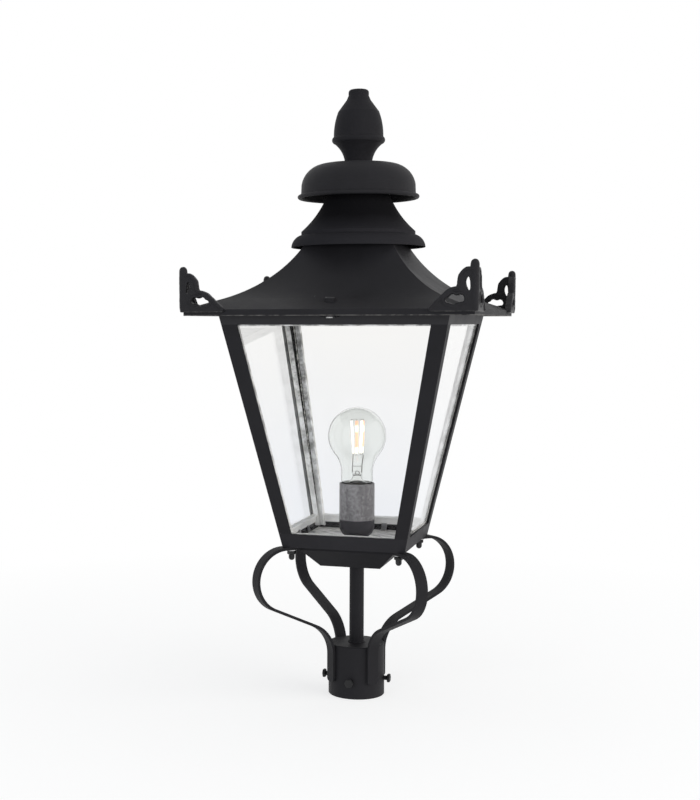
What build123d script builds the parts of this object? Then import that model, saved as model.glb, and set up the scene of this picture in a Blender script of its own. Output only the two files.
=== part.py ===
from build123d import *
from math import hypot, sqrt
import os

os.makedirs("parts", exist_ok=True)

# Post top lantern: a four-sided tapered lantern under a hipped, vented roof, carried on a
# scrolled bracket. Millimetres. z = 0 is the mouth of the post collar and the front faces -Y.

# ---- driving dimensions: collar and bracket ---------------------------------------------------
POST_DIAMETER = 50.8  # tubular post that goes up into the collar
POST_CLEARANCE = 0.6  # all round the post
COLLAR_WALL = 3.0
COLLAR_DEPTH = 51.0  # how far the post goes in
COLLAR_LID = 3.0
COLLAR_EDGE = 0.8  # chamfer on the collar's outer edges
SET_SCREW_HEIGHT = 18.0
SET_SCREW_DIAMETER = 5.0
SET_SCREW_HEX = 8.0  # across the head's flats
SET_SCREW_HEAD = 3.0
SET_SCREW_STANDOFF = 3.9  # head's underside off the collar
SET_SCREW_RECESS = 0.3  # tip back from the socket's wall
RUNNING_FIT = 0.05  # radial, between a shaft and its hole

BRACKET_HEIGHT = 160.0  # collar's mouth to the underside of the lantern's frame
ARM_WIDTH = 12.0
ARM_THICKNESS = 3.0
ARM_LOOP_RADIUS = 32.0  # centre line of the big outer curve
ARM_LOOP_SETBACK = 2.0  # loop's centre, inward from the frame's corner
ARM_REVERSE_RADIUS = 35.0  # centre line of the curve that meets the collar
ARM_REVERSE_HEIGHT = 44.0  # where that curve has become upright
ARM_FOOT_HEIGHT = 15.5  # lower end of the arm on the collar
ARM_TIP = 9.0  # arm's inner end, past its bolt
ARM_END_RADIUS = 3.5
TUBE_DIAMETER = 15.0
TUBE_BORE = 11.0

# ---- driving dimensions: tapered frame and glazing --------------------------------------------
FRAME_BASE_SIDE = 125.0
FRAME_TOP_SIDE = 230.6
FRAME_HEIGHT = 243.5
ANGLE_WALL = 2.5  # measured level, like the glass and the beads
POST_FLANGE = 13.0
BASE_RAIL_HEIGHT = 14.0
TOP_RAIL_HEIGHT = 18.5
BASE_LEDGE = 17.0  # inward flange under the glass
TOP_LEDGE = 12.0  # inward flange under the roof
GLASS_THICKNESS = 3.0
GLASS_TOP_GAP = 6.0
GLASS_SIDE_GAP = 0.4
BEAD_THICKNESS = 2.0
BEAD_WIDTH = 5.5
BEAD_GAP = 0.2
BEAD_JOINT = 0.3  # between the ends of two beads
BEAD_SHOW_TOP = 2.0  # how far a bead shows past the rail
BEAD_SHOW_BASE = 4.0
FLOOR_THICKNESS = 2.0
CLIP_WIDTH = 6.0
CLIP_HEIGHT = 7.0
CLIP_THICKNESS = 1.0
CLIP_FOOT = 7.0
CLIP_SPACING = 34.0

PAN_BASE_SIDE = 62.0
PAN_TOP_SIDE = 96.0
PAN_DEPTH = 22.6  # all of the pan, below the frame
PAN_RIM = 4.5  # upright rim at its top
PAN_SHEET = 1.5

BOLT_DIAMETER = 5.0
BOLT_INSET = 7.5  # bolt's centre, in from the frame's outer faces
BOLT_HOLE_CLEARANCE = 0.3
BOLT_HEAD_RADIUS = 4.6
BOLT_HEAD_DEPTH = 1.9
NUT_HEX = 8.0
NUT_HEX_HEIGHT = 4.0
DOME_RADIUS = 3.1
DOME_HEIGHT = 6.0  # below the hexagon
WASHER_RADIUS = 5.0
WASHER_THICKNESS = 1.0

# ---- driving dimensions: roof, vent and ornaments ---------------------------------------------
EAVE_OVERHANG = 24.7  # drip edge, out from the frame's top
EAVE_DROP = 10.0  # drip edge hangs this far below the frame's top
DRIP_HEIGHT = 6.2
EAVE_BAND_WIDTH = 31.5  # drip edge to the crease where the bell curve starts
CREASE_RISE = 17.4
THROAT_SIDE = 80.0
ROOF_RISE = 81.5
ROOF_CURVE_RADIUS = 124.0
ROOF_SHEET = 1.5
SEAT_WIDTH = 11.0
SEAT_HEIGHT = 4.0

SPUN_SHEET = 1.5  # thickness of the spun neck and cap
VENT_RADIUS = 30.0
SKIRT_RADIUS = 68.7
SKIRT_DROP = 11.0  # skirt's rim below the roof's flat top
SKIRT_SWELL_RADIUS = 65.6  # a point midway round the skirt's rounded shoulder
SKIRT_SWELL_DROP = 3.0
STEP_RADIUS = 58.4
STEP_FOOT = 1.6  # step's foot above the roof's flat top
STEP_HEIGHT = 3.5
NECK_TOP_RADIUS = 31.0
NECK_HEIGHT = 45.0  # roof's flat top to the neck's open top
NECK_WAIST_RADIUS = 46.7
NECK_WAIST_HEIGHT = 17.2
NECK_WEB = 2.0
VENT_SCREW_SPACING = 62.0
CROSSBAR_WIDTH = 14.0
CROSSBAR_THICKNESS = 4.0
CROSSBAR_LENGTH = 86.0
CROSSBAR_SCREW_SPACING = 72.0
SMALL_SCREW_DIAMETER = 4.0
SMALL_SCREW_HEAD = 3.8  # radius
SMALL_SCREW_HEAD_HEIGHT = 2.4
SMALL_SCREW_GRIP = 3.0  # thread below what the screw holds

CAP_RADIUS = 58.8
CAP_CROWN_HEIGHT = 76.5  # roof's flat top to the top of the cap
CAP_DEPTH = 36.0  # crown to the bead at the rim
CAP_SHOULDER_RADIUS = 34.0
CAP_SHOULDER_DROP = 2.6
CAP_BEND_RADIUS = 51.2
CAP_BEND_DROP = 9.8
CAP_SIDE_RADIUS = 58.3
CAP_SIDE_DROP = 24.0
CAP_SEAT_RADIUS = 15.0
BEAD_RADIUS = 2.1
ROD_DIAMETER = 8.0
ROD_NUT_HEX = 13.0
ROD_NUT_HEIGHT = 6.5
ROD_TAIL = 3.0
ROD_GRIP = 10.5  # rod's end inside the finial
ROD_END_GAP = 1.0

FINIAL_FOOT_RADIUS = 14.0
FINIAL_COLLAR_RADIUS = 27.1
FINIAL_COLLAR_HEIGHT = 21.6  # widest line above the finial's foot
FINIAL_HEIGHT = 73.0
FINIAL_FLARE_RADIUS = 17.1  # a point midway up the foot's hollow curve
FINIAL_FLARE_HEIGHT = 9.6
FINIAL_COLLAR_HALF = 3.4
FINIAL_COLLAR_LIP = 2.6  # collar's reach past the foot's top
FINIAL_CUP_RADIUS = 25.3
FINIAL_BELLY_RADIUS = 24.3  # a point midway up the acorn
FINIAL_BELLY_HEIGHT = 38.0
FINIAL_SHOULDER_RADIUS = 20.9
FINIAL_SHOULDER_HEIGHT = 50.5
FINIAL_NECK_RADIUS = 12.4
FINIAL_NECK_HEIGHT = 62.1
FINIAL_TIP_RADIUS = 10.4
FINIAL_TIP_EDGE = 3.2

ORNAMENT_HEIGHT = 49.0  # above the drip edge's lower line
ORNAMENT_BAR_RADIUS = 3.9
ORNAMENT_PLATE = 6.0
ORNAMENT_FOOT_RING = 4.7  # radius of the bar's foot
ORNAMENT_FOOT_DEPTH = 3.0
# the wing's outline and openings, as (along from the corner, up from the drip edge's lower line)
WING_ROOT = (3.0, 41.0)
WING_HUMP = (6.5, 41.7)
WING_SHOULDER = (14.0, 35.6)
WING_WAIST = (16.5, 25.1)
WING_LOBE = (24.2, 22.6)
WING_LOBE_END = (30.0, 17.2)
WING_NOSE = (42.5, 7.0)
WING_TOE = (44.0, 5.0)
WING_HEEL = (42.0, 3.3)
SLOT_CIRCLES = (((5.6, 25.3), 2.0), ((6.8, 28.5), 2.4), ((6.6, 33.2), 1.2))
LOBE_CIRCLES = (((12.2, 15.2), 3.2), ((17.0, 13.6), 3.5), ((21.8, 14.2), 3.4))

# ---- driving dimensions: hinge and catch ------------------------------------------------------
HINGE_SPACING = 120.0
HINGE_SETBACK = 5.7  # pin's centre behind the frame's top edge
HINGE_DROP = 3.7  # pin's centre below the eave band's underside
HINGE_KNUCKLE = 10.0  # length of each of the three knuckles
HINGE_KNUCKLE_RADIUS = 3.0
HINGE_PIN_RADIUS = 1.5
HINGE_GAP = 0.3
HINGE_LEAF_GAP = 1.0  # between the outer knuckles and the roof's leaf
HINGE_LEAF = 1.5
HINGE_LEAF_REACH = 12.0
HINGE_LEAF_HEIGHT = 12.0
CATCH_SETBACK = 22.5  # screw's centre in from the eave
CATCH_HEAD_RADIUS = 4.8
CATCH_HEAD_HEIGHT = 1.4
CATCH_HEAD_EDGE = 1.0  # rounding of the head's top
CATCH_SCREW_DIAMETER = 4.0
CATCH_SLACK = 0.5
CATCH_BOSS_RADIUS = 5.6
CATCH_BOSS_LIP = 0.2  # boss's top above the highest band beside it
LUG_WIDTH = 16.0
LUG_THICKNESS = 1.6
LUG_DROP = 1.1  # lug's underside below the drip edge
LUG_MARGIN = 7.0
CATCH_NUT_RADIUS = 4.1
CATCH_NUT_FLANGE = 1.2
CATCH_NUT_BARREL = 3.1
CATCH_NUT_HEIGHT = 5.0

# ---- driving dimensions: lamp -----------------------------------------------------------------
HOLDER_RADIUS = 18.2
HOLDER_HEIGHT = 56.5
HOLDER_BORE = 16.4
HOLDER_SPLIT = 18.5
HOLDER_FOOT_RADIUS = 9.5
HOLDER_BEND_RADIUS = 15.6
HOLDER_BEND_HEIGHT = 4.4
HOLDER_SIDE_HEIGHT = 11.0
HOLDER_CORE = 6.0
HOLDER_SHELL_RADIUS = 14.4
HOLDER_SHELL_WALL = 0.6
HOLDER_SHELL_HEIGHT = 26.0
HOLDER_RIM_EDGE = 0.7  # rounding of the rim
HOLDER_TONGUE = 7.5
TONGUE_MARGIN = 1.5  # past the lamp's contact
TONGUE_SHEET = 0.6
NIPPLE_DIAMETER = 10.0
NIPPLE_BORE = 7.0
NIPPLE_STAND = 6.0
NIPPLE_NUT_HEX = 14.0
NIPPLE_NUT_HEIGHT = 3.0

BULB_RADIUS = 30.0
BULB_LENGTH = 106.0
BULB_NECK_RADIUS = 16.4
BULB_NECK_TOP = 67.8  # height of the neck's top, below the bulb's crown
BULB_NECK_BASE = 75.8
BULB_SEAL_RADIUS = 12.6
BULB_SEAL_BEND = 1.1  # a point midway round the curve into the cap, in from the neck
BULB_SEAL_BEND_DROP = 2.6
BULB_GLASS = 0.9
BULB_CONTACT_GAP = 0.3
LAMP_CAP_RADIUS = 13.1
LAMP_CAP_ROOT = 12.3
LAMP_CAP_HEIGHT = 22.0
LAMP_CAP_PITCH = 3.62
LAMP_CAP_TURNS = 4
LAMP_CAP_LEAD = 3.26  # first thread's crest above the shell's foot
LAMP_CAP_RIDGE = 1.4  # half the thread ridge's width at its root
LAMP_INSULATOR_HEIGHT = 3.2
LAMP_CONTACT_RADIUS = 4.6
LAMP_CONTACT_HEIGHT = 1.6
LAMP_CONTACT_MARGIN = 1.0  # insulator's foot past the contact
STEM_TUBE = 11.5
STEM_RADIUS = 4.2
STEM_FLARE = 11.0
STEM_FLARE_HOLLOW = 1.2
STEM_FLARE_HEIGHT = 4.6
PRESS_WIDTH = 11.0
PRESS_THICKNESS = 3.2
PRESS_HEIGHT = 8.0
FILAMENT_COUNT = 4
FILAMENT_LENGTH = 37.0
FILAMENT_RADIUS = 0.9
FILAMENT_RING_RADIUS = 7.0
FILAMENT_LEAN = 6.0
WIRE_RADIUS = 0.4
WIRE_SPREAD = 4.5
WIRE_LENGTH = 10.0

# ---- derived places ---------------------------------------------------------------------------
SOCKET_RADIUS = POST_DIAMETER / 2 + POST_CLEARANCE
COLLAR_RADIUS = SOCKET_RADIUS + COLLAR_WALL
COLLAR_TOP = COLLAR_DEPTH + COLLAR_LID

FRAME_BASE = BRACKET_HEIGHT
FRAME_TOP = FRAME_BASE + FRAME_HEIGHT
WALL_LEAN = (FRAME_TOP_SIDE - FRAME_BASE_SIDE) / 2 / FRAME_HEIGHT
LEDGE_TOP = FRAME_BASE + ANGLE_WALL
BASE_RAIL_TOP = FRAME_BASE + BASE_RAIL_HEIGHT
TOP_RAIL_BASE = FRAME_TOP - TOP_RAIL_HEIGHT
GLASS_FACE = ANGLE_WALL  # level depth of each layer behind the frame's outer face
BEAD_FACE = GLASS_FACE + GLASS_THICKNESS
CLIP_FACE = BEAD_FACE + BEAD_THICKNESS
GLASS_EDGE = BEAD_FACE + GLASS_SIDE_GAP
BEAD_EDGE = CLIP_FACE + BEAD_GAP
FLOOR_TOP = LEDGE_TOP + FLOOR_THICKNESS
BOLT_PLACE = FRAME_BASE_SIDE / 2 - BOLT_INSET
PAN_BASE = FRAME_BASE - PAN_DEPTH

EAVE = FRAME_TOP - EAVE_DROP
EAVE_HALF = FRAME_TOP_SIDE / 2 + EAVE_OVERHANG
CREASE_HALF = EAVE_HALF - EAVE_BAND_WIDTH
THROAT_HALF = THROAT_SIDE / 2
BAND_SLOPE = (CREASE_RISE - DRIP_HEIGHT) / (EAVE_HALF - CREASE_HALF)
ROOF_TOP = EAVE + ROOF_RISE
WEB_TOP = ROOF_TOP + NECK_WEB
CROSSBAR_TOP = WEB_TOP + CROSSBAR_THICKNESS
CAP_CROWN = ROOF_TOP + CAP_CROWN_HEIGHT
CAP_RIM = CAP_CROWN - CAP_DEPTH

CORNERS = {"back_right": 0, "back_left": 90, "front_left": 180, "front_right": 270}
WALLS = {"front": 0, "right": 90, "back": 180, "left": 270}
ABOVE = (Align.CENTER, Align.CENTER, Align.MIN)
BELOW = (Align.CENTER, Align.CENTER, Align.MAX)


def half_side(z):
    """Half the frame's outer side at height z."""
    return FRAME_BASE_SIDE / 2 + WALL_LEAN * (z - FRAME_BASE)


def band_height(distance):
    """Top of the eave band, at a level distance from the lantern's axis."""
    return EAVE + DRIP_HEIGHT + BAND_SLOPE * (EAVE_HALF - distance)


def tapered_block(base_half, top_half, low, high):
    """A square block between two heights, with half its side given at each."""
    with BuildPart() as block:
        for plane, mode in ((Plane.XZ, Mode.ADD), (Plane.YZ, Mode.INTERSECT)):
            with BuildSketch(plane):
                with BuildLine():
                    Polyline(
                        (-base_half, low),
                        (base_half, low),
                        (top_half, high),
                        (-top_half, high),
                        close=True,
                    )
                make_face()
            extrude(amount=max(base_half, top_half), both=True, mode=mode)
    return block.part


def frame_block(low, high, depth=0.0):
    """The block that the frame's walls enclose between two heights, set level inwards by depth."""
    return tapered_block(half_side(low) - depth, half_side(high) - depth, low, high)


def angle_section(z):
    """The right-angled section of the back right corner post at height z."""
    corner = half_side(z)
    inside = corner - ANGLE_WALL
    edge = corner - POST_FLANGE
    with BuildSketch(Plane.XY.offset(z)) as section:
        with BuildLine():
            Polyline(
                (corner, corner),
                (edge, corner),
                (edge, inside),
                (inside, inside),
                (inside, edge),
                (corner, edge),
                close=True,
            )
        make_face()
    return section.sketch


def wall_profile(near, far, low, high, across=0.0):
    """The front wall's side view at x = across, between two level depths and two heights."""
    with BuildSketch(Plane.YZ.offset(across)) as profile:
        with BuildLine():
            Polyline(
                (near - half_side(low), low),
                (far - half_side(low), low),
                (far - half_side(high), high),
                (near - half_side(high), high),
                close=True,
            )
        make_face()
    return profile.sketch


def wall_window(edge_gap, low, high):
    """The front wall's front view between two heights, set level inwards from the corners."""
    with BuildSketch(Plane.XZ) as window:
        with BuildLine():
            base, top = half_side(low) - edge_gap, half_side(high) - edge_gap
            Polyline((-base, low), (base, low), (top, high), (-top, high), close=True)
        make_face()
    return window.sketch


def roof_section(plane, sheet=0.0):
    """The roof's outline from side to side or, with a sheet, the hollow inside it."""
    with BuildSketch(plane) as section:
        with BuildLine():
            drip = Line((EAVE_HALF, EAVE), (EAVE_HALF, EAVE + DRIP_HEIGHT))
            band = Line(drip @ 1, (CREASE_HALF, EAVE + CREASE_RISE))
            bell = RadiusArc(band @ 1, (THROAT_HALF, ROOF_TOP), ROOF_CURVE_RADIUS)
            Line(bell @ 1, (0, ROOF_TOP))
            mirror(about=Plane.YZ)
            Line((-EAVE_HALF, EAVE), (EAVE_HALF, EAVE))
        make_face()
        if sheet:
            offset(amount=-sheet, kind=Kind.INTERSECTION)
            with Locations((0, EAVE)):
                Rectangle(2 * (EAVE_HALF - sheet), 4 * sheet)
    return section.sketch


# ---- collar, set screws and conduit tube ------------------------------------------------------
with BuildPart() as post_collar:
    Cylinder(COLLAR_RADIUS, COLLAR_TOP, align=ABOVE)
    chamfer(post_collar.edges().filter_by(GeomType.CIRCLE), length=COLLAR_EDGE)
    Cylinder(SOCKET_RADIUS, COLLAR_DEPTH, align=ABOVE, mode=Mode.SUBTRACT)
    Cylinder(TUBE_BORE / 2, COLLAR_TOP, align=ABOVE, mode=Mode.SUBTRACT)
    for across in (Plane.XZ, Plane.YZ):
        with BuildSketch(across):
            with Locations((0, SET_SCREW_HEIGHT)):
                Circle(SET_SCREW_DIAMETER / 2 + RUNNING_FIT)
        extrude(amount=COLLAR_RADIUS, both=True, mode=Mode.SUBTRACT)
post_collar.part.label = "post_collar"
export_step(post_collar.part, "parts/post_collar.step")

SCREW_TIP = SOCKET_RADIUS + SET_SCREW_RECESS
SCREW_SEAT = COLLAR_RADIUS + SET_SCREW_STANDOFF
with BuildPart() as set_screw:
    with BuildSketch(Plane.YZ.offset(SCREW_TIP)):
        with Locations((0, SET_SCREW_HEIGHT)):
            Circle(SET_SCREW_DIAMETER / 2)
    extrude(amount=SCREW_SEAT - SCREW_TIP)
    with BuildSketch(Plane.YZ.offset(SCREW_SEAT)):
        with Locations((0, SET_SCREW_HEIGHT)):
            RegularPolygon(SET_SCREW_HEX / 2, 6, major_radius=False)
    extrude(amount=SET_SCREW_HEAD)

for side, angle in {"right": 0, "back": 90, "left": 180, "front": 270}.items():
    with BuildPart() as screw:
        add(set_screw.part, rotation=(0, 0, angle))
    screw.part.label = f"set_screw_{side}"
    export_step(screw.part, f"parts/set_screw_{side}.step")

with BuildPart() as conduit_tube:
    with BuildSketch(Plane.XY.offset(COLLAR_TOP)):
        Circle(TUBE_DIAMETER / 2)
        Circle(TUBE_BORE / 2, mode=Mode.SUBTRACT)
    extrude(amount=PAN_BASE - COLLAR_TOP)
conduit_tube.part.label = "conduit_tube"
export_step(conduit_tube.part, "parts/conduit_tube.step")

# ---- scrolled bracket arms, in the upright planes through the frame's corners -----------------
ARM_TOP = FRAME_BASE - ARM_THICKNESS / 2  # centre line of the stretch under the frame
BOLT_REACH = sqrt(2) * BOLT_PLACE
LOOP_REACH = sqrt(2) * FRAME_BASE_SIDE / 2 - ARM_LOOP_SETBACK
LOOP_CENTRE = Vector(LOOP_REACH, ARM_TOP - ARM_LOOP_RADIUS)
ARM_REACH = COLLAR_RADIUS + ARM_THICKNESS / 2
REVERSE_CENTRE = Vector(ARM_REACH + ARM_REVERSE_RADIUS, ARM_REVERSE_HEIGHT)
# the straight between the two curves is the line that crosses between both circles
BETWEEN = REVERSE_CENTRE - LOOP_CENTRE
SPAN_RATIO = (ARM_LOOP_RADIUS + ARM_REVERSE_RADIUS) / BETWEEN.length
ALONG = BETWEEN.normalized()
ACROSS = Vector(-ALONG.Y, ALONG.X)
TANGENT_NORMAL = ALONG * SPAN_RATIO + ACROSS * sqrt(1 - SPAN_RATIO**2)
LOOP_EXIT = LOOP_CENTRE + TANGENT_NORMAL * ARM_LOOP_RADIUS
REVERSE_ENTRY = REVERSE_CENTRE - TANGENT_NORMAL * ARM_REVERSE_RADIUS
REVERSE_MIDDLE = REVERSE_CENTRE - (TANGENT_NORMAL + Vector(1, 0)).normalized() * ARM_REVERSE_RADIUS

with BuildPart() as bracket_arm:
    with BuildSketch(Plane(origin=(0, 0, 0), x_dir=(1, 1, 0), z_dir=(1, -1, 0))):
        with BuildLine():
            flat = Line((BOLT_REACH - ARM_TIP, ARM_TOP), (LOOP_REACH, ARM_TOP))
            widest = LOOP_CENTRE + Vector(ARM_LOOP_RADIUS, 0)
            loop = ThreePointArc(flat @ 1, widest, LOOP_EXIT)
            sweep_in = Line(loop @ 1, REVERSE_ENTRY)
            reverse = ThreePointArc(sweep_in @ 1, REVERSE_MIDDLE, (ARM_REACH, ARM_REVERSE_HEIGHT))
            Line(reverse @ 1, (ARM_REACH, ARM_FOOT_HEIGHT))
        trace(line_width=ARM_THICKNESS)
    extrude(amount=ARM_WIDTH / 2, both=True)
    foot = bracket_arm.faces().sort_by(Axis.Z)[0]
    tip = bracket_arm.faces().filter_by(Plane((0, 0, 0), z_dir=(1, 1, 0))).sort_by(Axis.Z)[-1]
    arm_thin_edges = foot.edges().filter_by(lambda e: abs(e.length - ARM_THICKNESS) < 0.01)
    arm_thin_edges += tip.edges().filter_by(lambda e: abs(e.length - ARM_THICKNESS) < 0.01)
    fillet(arm_thin_edges, radius=ARM_END_RADIUS)
    with Locations((BOLT_PLACE, BOLT_PLACE, FRAME_BASE)):
        Hole(BOLT_DIAMETER / 2 + BOLT_HOLE_CLEARANCE, depth=ARM_THICKNESS)

with BuildPart() as arm_bolt:
    with BuildSketch(Plane.XZ):
        with BuildLine():
            grip = BOLT_DIAMETER / 2
            nut_room = ANGLE_WALL + ARM_THICKNESS + WASHER_THICKNESS + NUT_HEX_HEIGHT
            Polyline(
                (0, 0),
                (BOLT_HEAD_RADIUS, 0),
                (grip, -BOLT_HEAD_DEPTH),
                (grip, -nut_room),
                (0, -nut_room),
                close=True,
            )
        make_face()
    revolve(axis=Axis.Z)

with BuildPart() as washer:
    Cylinder(WASHER_RADIUS, WASHER_THICKNESS, align=BELOW)
    Cylinder(BOLT_DIAMETER / 2 + BOLT_HOLE_CLEARANCE, WASHER_THICKNESS, align=BELOW, mode=Mode.SUBTRACT)

with BuildPart() as dome_nut:
    with BuildSketch():
        RegularPolygon(NUT_HEX / 2, 6, major_radius=False)
    extrude(amount=-NUT_HEX_HEIGHT)
    dome_side = DOME_HEIGHT - DOME_RADIUS
    with Locations((0, 0, -NUT_HEX_HEIGHT)):
        Cylinder(DOME_RADIUS, dome_side, align=BELOW)
    with Locations((0, 0, -NUT_HEX_HEIGHT - dome_side)):
        Sphere(DOME_RADIUS, arc_size1=-90, arc_size2=0, align=BELOW)
    Cylinder(BOLT_DIAMETER / 2 + RUNNING_FIT, NUT_HEX_HEIGHT, align=BELOW, mode=Mode.SUBTRACT)

WASHER_TOP = FRAME_BASE - ARM_THICKNESS
with BuildPart() as arm_bolts:
    with Locations((0, 0, LEDGE_TOP)):
        with GridLocations(2 * BOLT_PLACE, 2 * BOLT_PLACE, 2, 2):
            add(arm_bolt.part)
arm_bolts.part.label = "arm_bolts"
export_step(arm_bolts.part, "parts/arm_bolts.step")

with BuildPart() as arm_washers:
    with Locations((0, 0, WASHER_TOP)):
        with GridLocations(2 * BOLT_PLACE, 2 * BOLT_PLACE, 2, 2):
            add(washer.part)
arm_washers.part.label = "arm_washers"
export_step(arm_washers.part, "parts/arm_washers.step")

with BuildPart() as arm_nuts:
    with Locations((0, 0, WASHER_TOP - WASHER_THICKNESS)):
        with GridLocations(2 * BOLT_PLACE, 2 * BOLT_PLACE, 2, 2):
            add(dome_nut.part)
arm_nuts.part.label = "arm_nuts"
export_step(arm_nuts.part, "parts/arm_nuts.step")

# ---- tapered frame ----------------------------------------------------------------------------
with BuildPart() as base_frame:
    add(frame_block(FRAME_BASE, BASE_RAIL_TOP))
    add(frame_block(LEDGE_TOP, BASE_RAIL_TOP, ANGLE_WALL), mode=Mode.SUBTRACT)
    with BuildSketch(Plane.XY.offset(FRAME_BASE)):
        Rectangle(FRAME_BASE_SIDE - 2 * BASE_LEDGE, FRAME_BASE_SIDE - 2 * BASE_LEDGE)
    extrude(amount=ANGLE_WALL, mode=Mode.SUBTRACT)
    with Locations((0, 0, LEDGE_TOP)):
        with GridLocations(2 * BOLT_PLACE, 2 * BOLT_PLACE, 2, 2):
            CounterSinkHole(
                BOLT_DIAMETER / 2 + BOLT_HOLE_CLEARANCE,
                BOLT_HEAD_RADIUS + RUNNING_FIT,
                depth=ANGLE_WALL,
                counter_sink_angle=90,
            )
base_frame.part.label = "base_frame"
export_step(base_frame.part, "parts/base_frame.step")

with BuildPart() as top_frame:
    add(frame_block(TOP_RAIL_BASE, FRAME_TOP))
    ledge_underside = FRAME_TOP - ANGLE_WALL
    add(frame_block(TOP_RAIL_BASE, ledge_underside, ANGLE_WALL), mode=Mode.SUBTRACT)
    with BuildSketch(Plane.XY.offset(ledge_underside)):
        Rectangle(FRAME_TOP_SIDE - 2 * TOP_LEDGE, FRAME_TOP_SIDE - 2 * TOP_LEDGE)
    extrude(amount=ANGLE_WALL, mode=Mode.SUBTRACT)
top_frame.part.label = "top_frame"
export_step(top_frame.part, "parts/top_frame.step")

with BuildPart() as corner_post:
    corner_line = Vector(WALL_LEAN, WALL_LEAN, 1) * (TOP_RAIL_BASE - BASE_RAIL_TOP)
    extrude(angle_section(BASE_RAIL_TOP), amount=corner_line.length, dir=corner_line.normalized())

for corner, angle in CORNERS.items():
    with BuildPart() as post:
        add(corner_post.part, rotation=(0, 0, angle))
    post.part.label = f"corner_post_{corner}"
    export_step(post.part, f"parts/corner_post_{corner}.step")
    with BuildPart() as arm:
        add(bracket_arm.part, rotation=(0, 0, angle))
    arm.part.label = f"bracket_arm_{corner}"
    export_step(arm.part, f"parts/bracket_arm_{corner}.step")

# ---- glass panes and the beads that hold them, wall by wall -----------------------------------
GLASS_TOP = FRAME_TOP - ANGLE_WALL - GLASS_TOP_GAP
BASE_BEAD_TOP = BASE_RAIL_TOP + BEAD_SHOW_BASE
TOP_BEAD_BASE = TOP_RAIL_BASE - BEAD_SHOW_TOP

with BuildPart() as glass_pane:
    extrude(wall_profile(GLASS_FACE, BEAD_FACE, LEDGE_TOP, GLASS_TOP), amount=FRAME_TOP_SIDE, both=True)
    extrude(wall_window(GLASS_EDGE, LEDGE_TOP, GLASS_TOP), amount=FRAME_TOP_SIDE, mode=Mode.INTERSECT)

with BuildPart() as glazing_beads:
    extrude(wall_profile(BEAD_FACE, CLIP_FACE, LEDGE_TOP, GLASS_TOP), amount=FRAME_TOP_SIDE, both=True)
    extrude(wall_window(BEAD_EDGE, LEDGE_TOP, GLASS_TOP), amount=FRAME_TOP_SIDE, mode=Mode.INTERSECT)
    sight = wall_window(BEAD_EDGE + BEAD_WIDTH, BASE_BEAD_TOP, TOP_BEAD_BASE)
    extrude(sight, amount=FRAME_TOP_SIDE, mode=Mode.SUBTRACT)
    with BuildSketch(Plane.XZ):
        for level in (BASE_BEAD_TOP, TOP_BEAD_BASE):
            with Locations((0, level)):
                Rectangle(FRAME_TOP_SIDE, BEAD_JOINT)
    extrude(amount=FRAME_TOP_SIDE, mode=Mode.SUBTRACT)

for wall, angle in WALLS.items():
    with BuildPart() as pane:
        add(glass_pane.part, rotation=(0, 0, angle))
    pane.part.label = f"glass_pane_{wall}"
    export_step(pane.part, f"parts/glass_pane_{wall}.step")
    with BuildPart() as beads:
        add(glazing_beads.part, rotation=(0, 0, angle))
    beads.part.label = f"glazing_beads_{wall}"
    export_step(beads.part, f"parts/glazing_beads_{wall}.step")

with BuildPart() as floor_plate:
    floor_side = 2 * (half_side(LEDGE_TOP) - CLIP_FACE - BEAD_GAP)
    with BuildSketch(Plane.XY.offset(LEDGE_TOP)):
        Rectangle(floor_side, floor_side)
        Circle(NIPPLE_DIAMETER / 2 + RUNNING_FIT, mode=Mode.SUBTRACT)
    extrude(amount=FLOOR_THICKNESS)
floor_plate.part.label = "floor_plate"
export_step(floor_plate.part, "parts/floor_plate.step")

CLIP_HEEL = half_side(FLOOR_TOP) - CLIP_FACE
with BuildPart() as wall_clips:
    for place in (-CLIP_SPACING / 2, CLIP_SPACING / 2):
        leg = wall_profile(CLIP_FACE, CLIP_FACE + CLIP_THICKNESS, FLOOR_TOP, FLOOR_TOP + CLIP_HEIGHT, place)
        extrude(leg, amount=CLIP_WIDTH / 2, both=True)
        with Locations((place, -CLIP_HEEL, FLOOR_TOP)):
            Box(CLIP_WIDTH, CLIP_FOOT, CLIP_THICKNESS, align=(Align.CENTER, Align.MIN, Align.MIN))

with BuildPart() as glazing_clips:
    for angle in WALLS.values():
        add(wall_clips.part, rotation=(0, 0, angle))
glazing_clips.part.label = "glazing_clips"
export_step(glazing_clips.part, "parts/glazing_clips.step")

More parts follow.
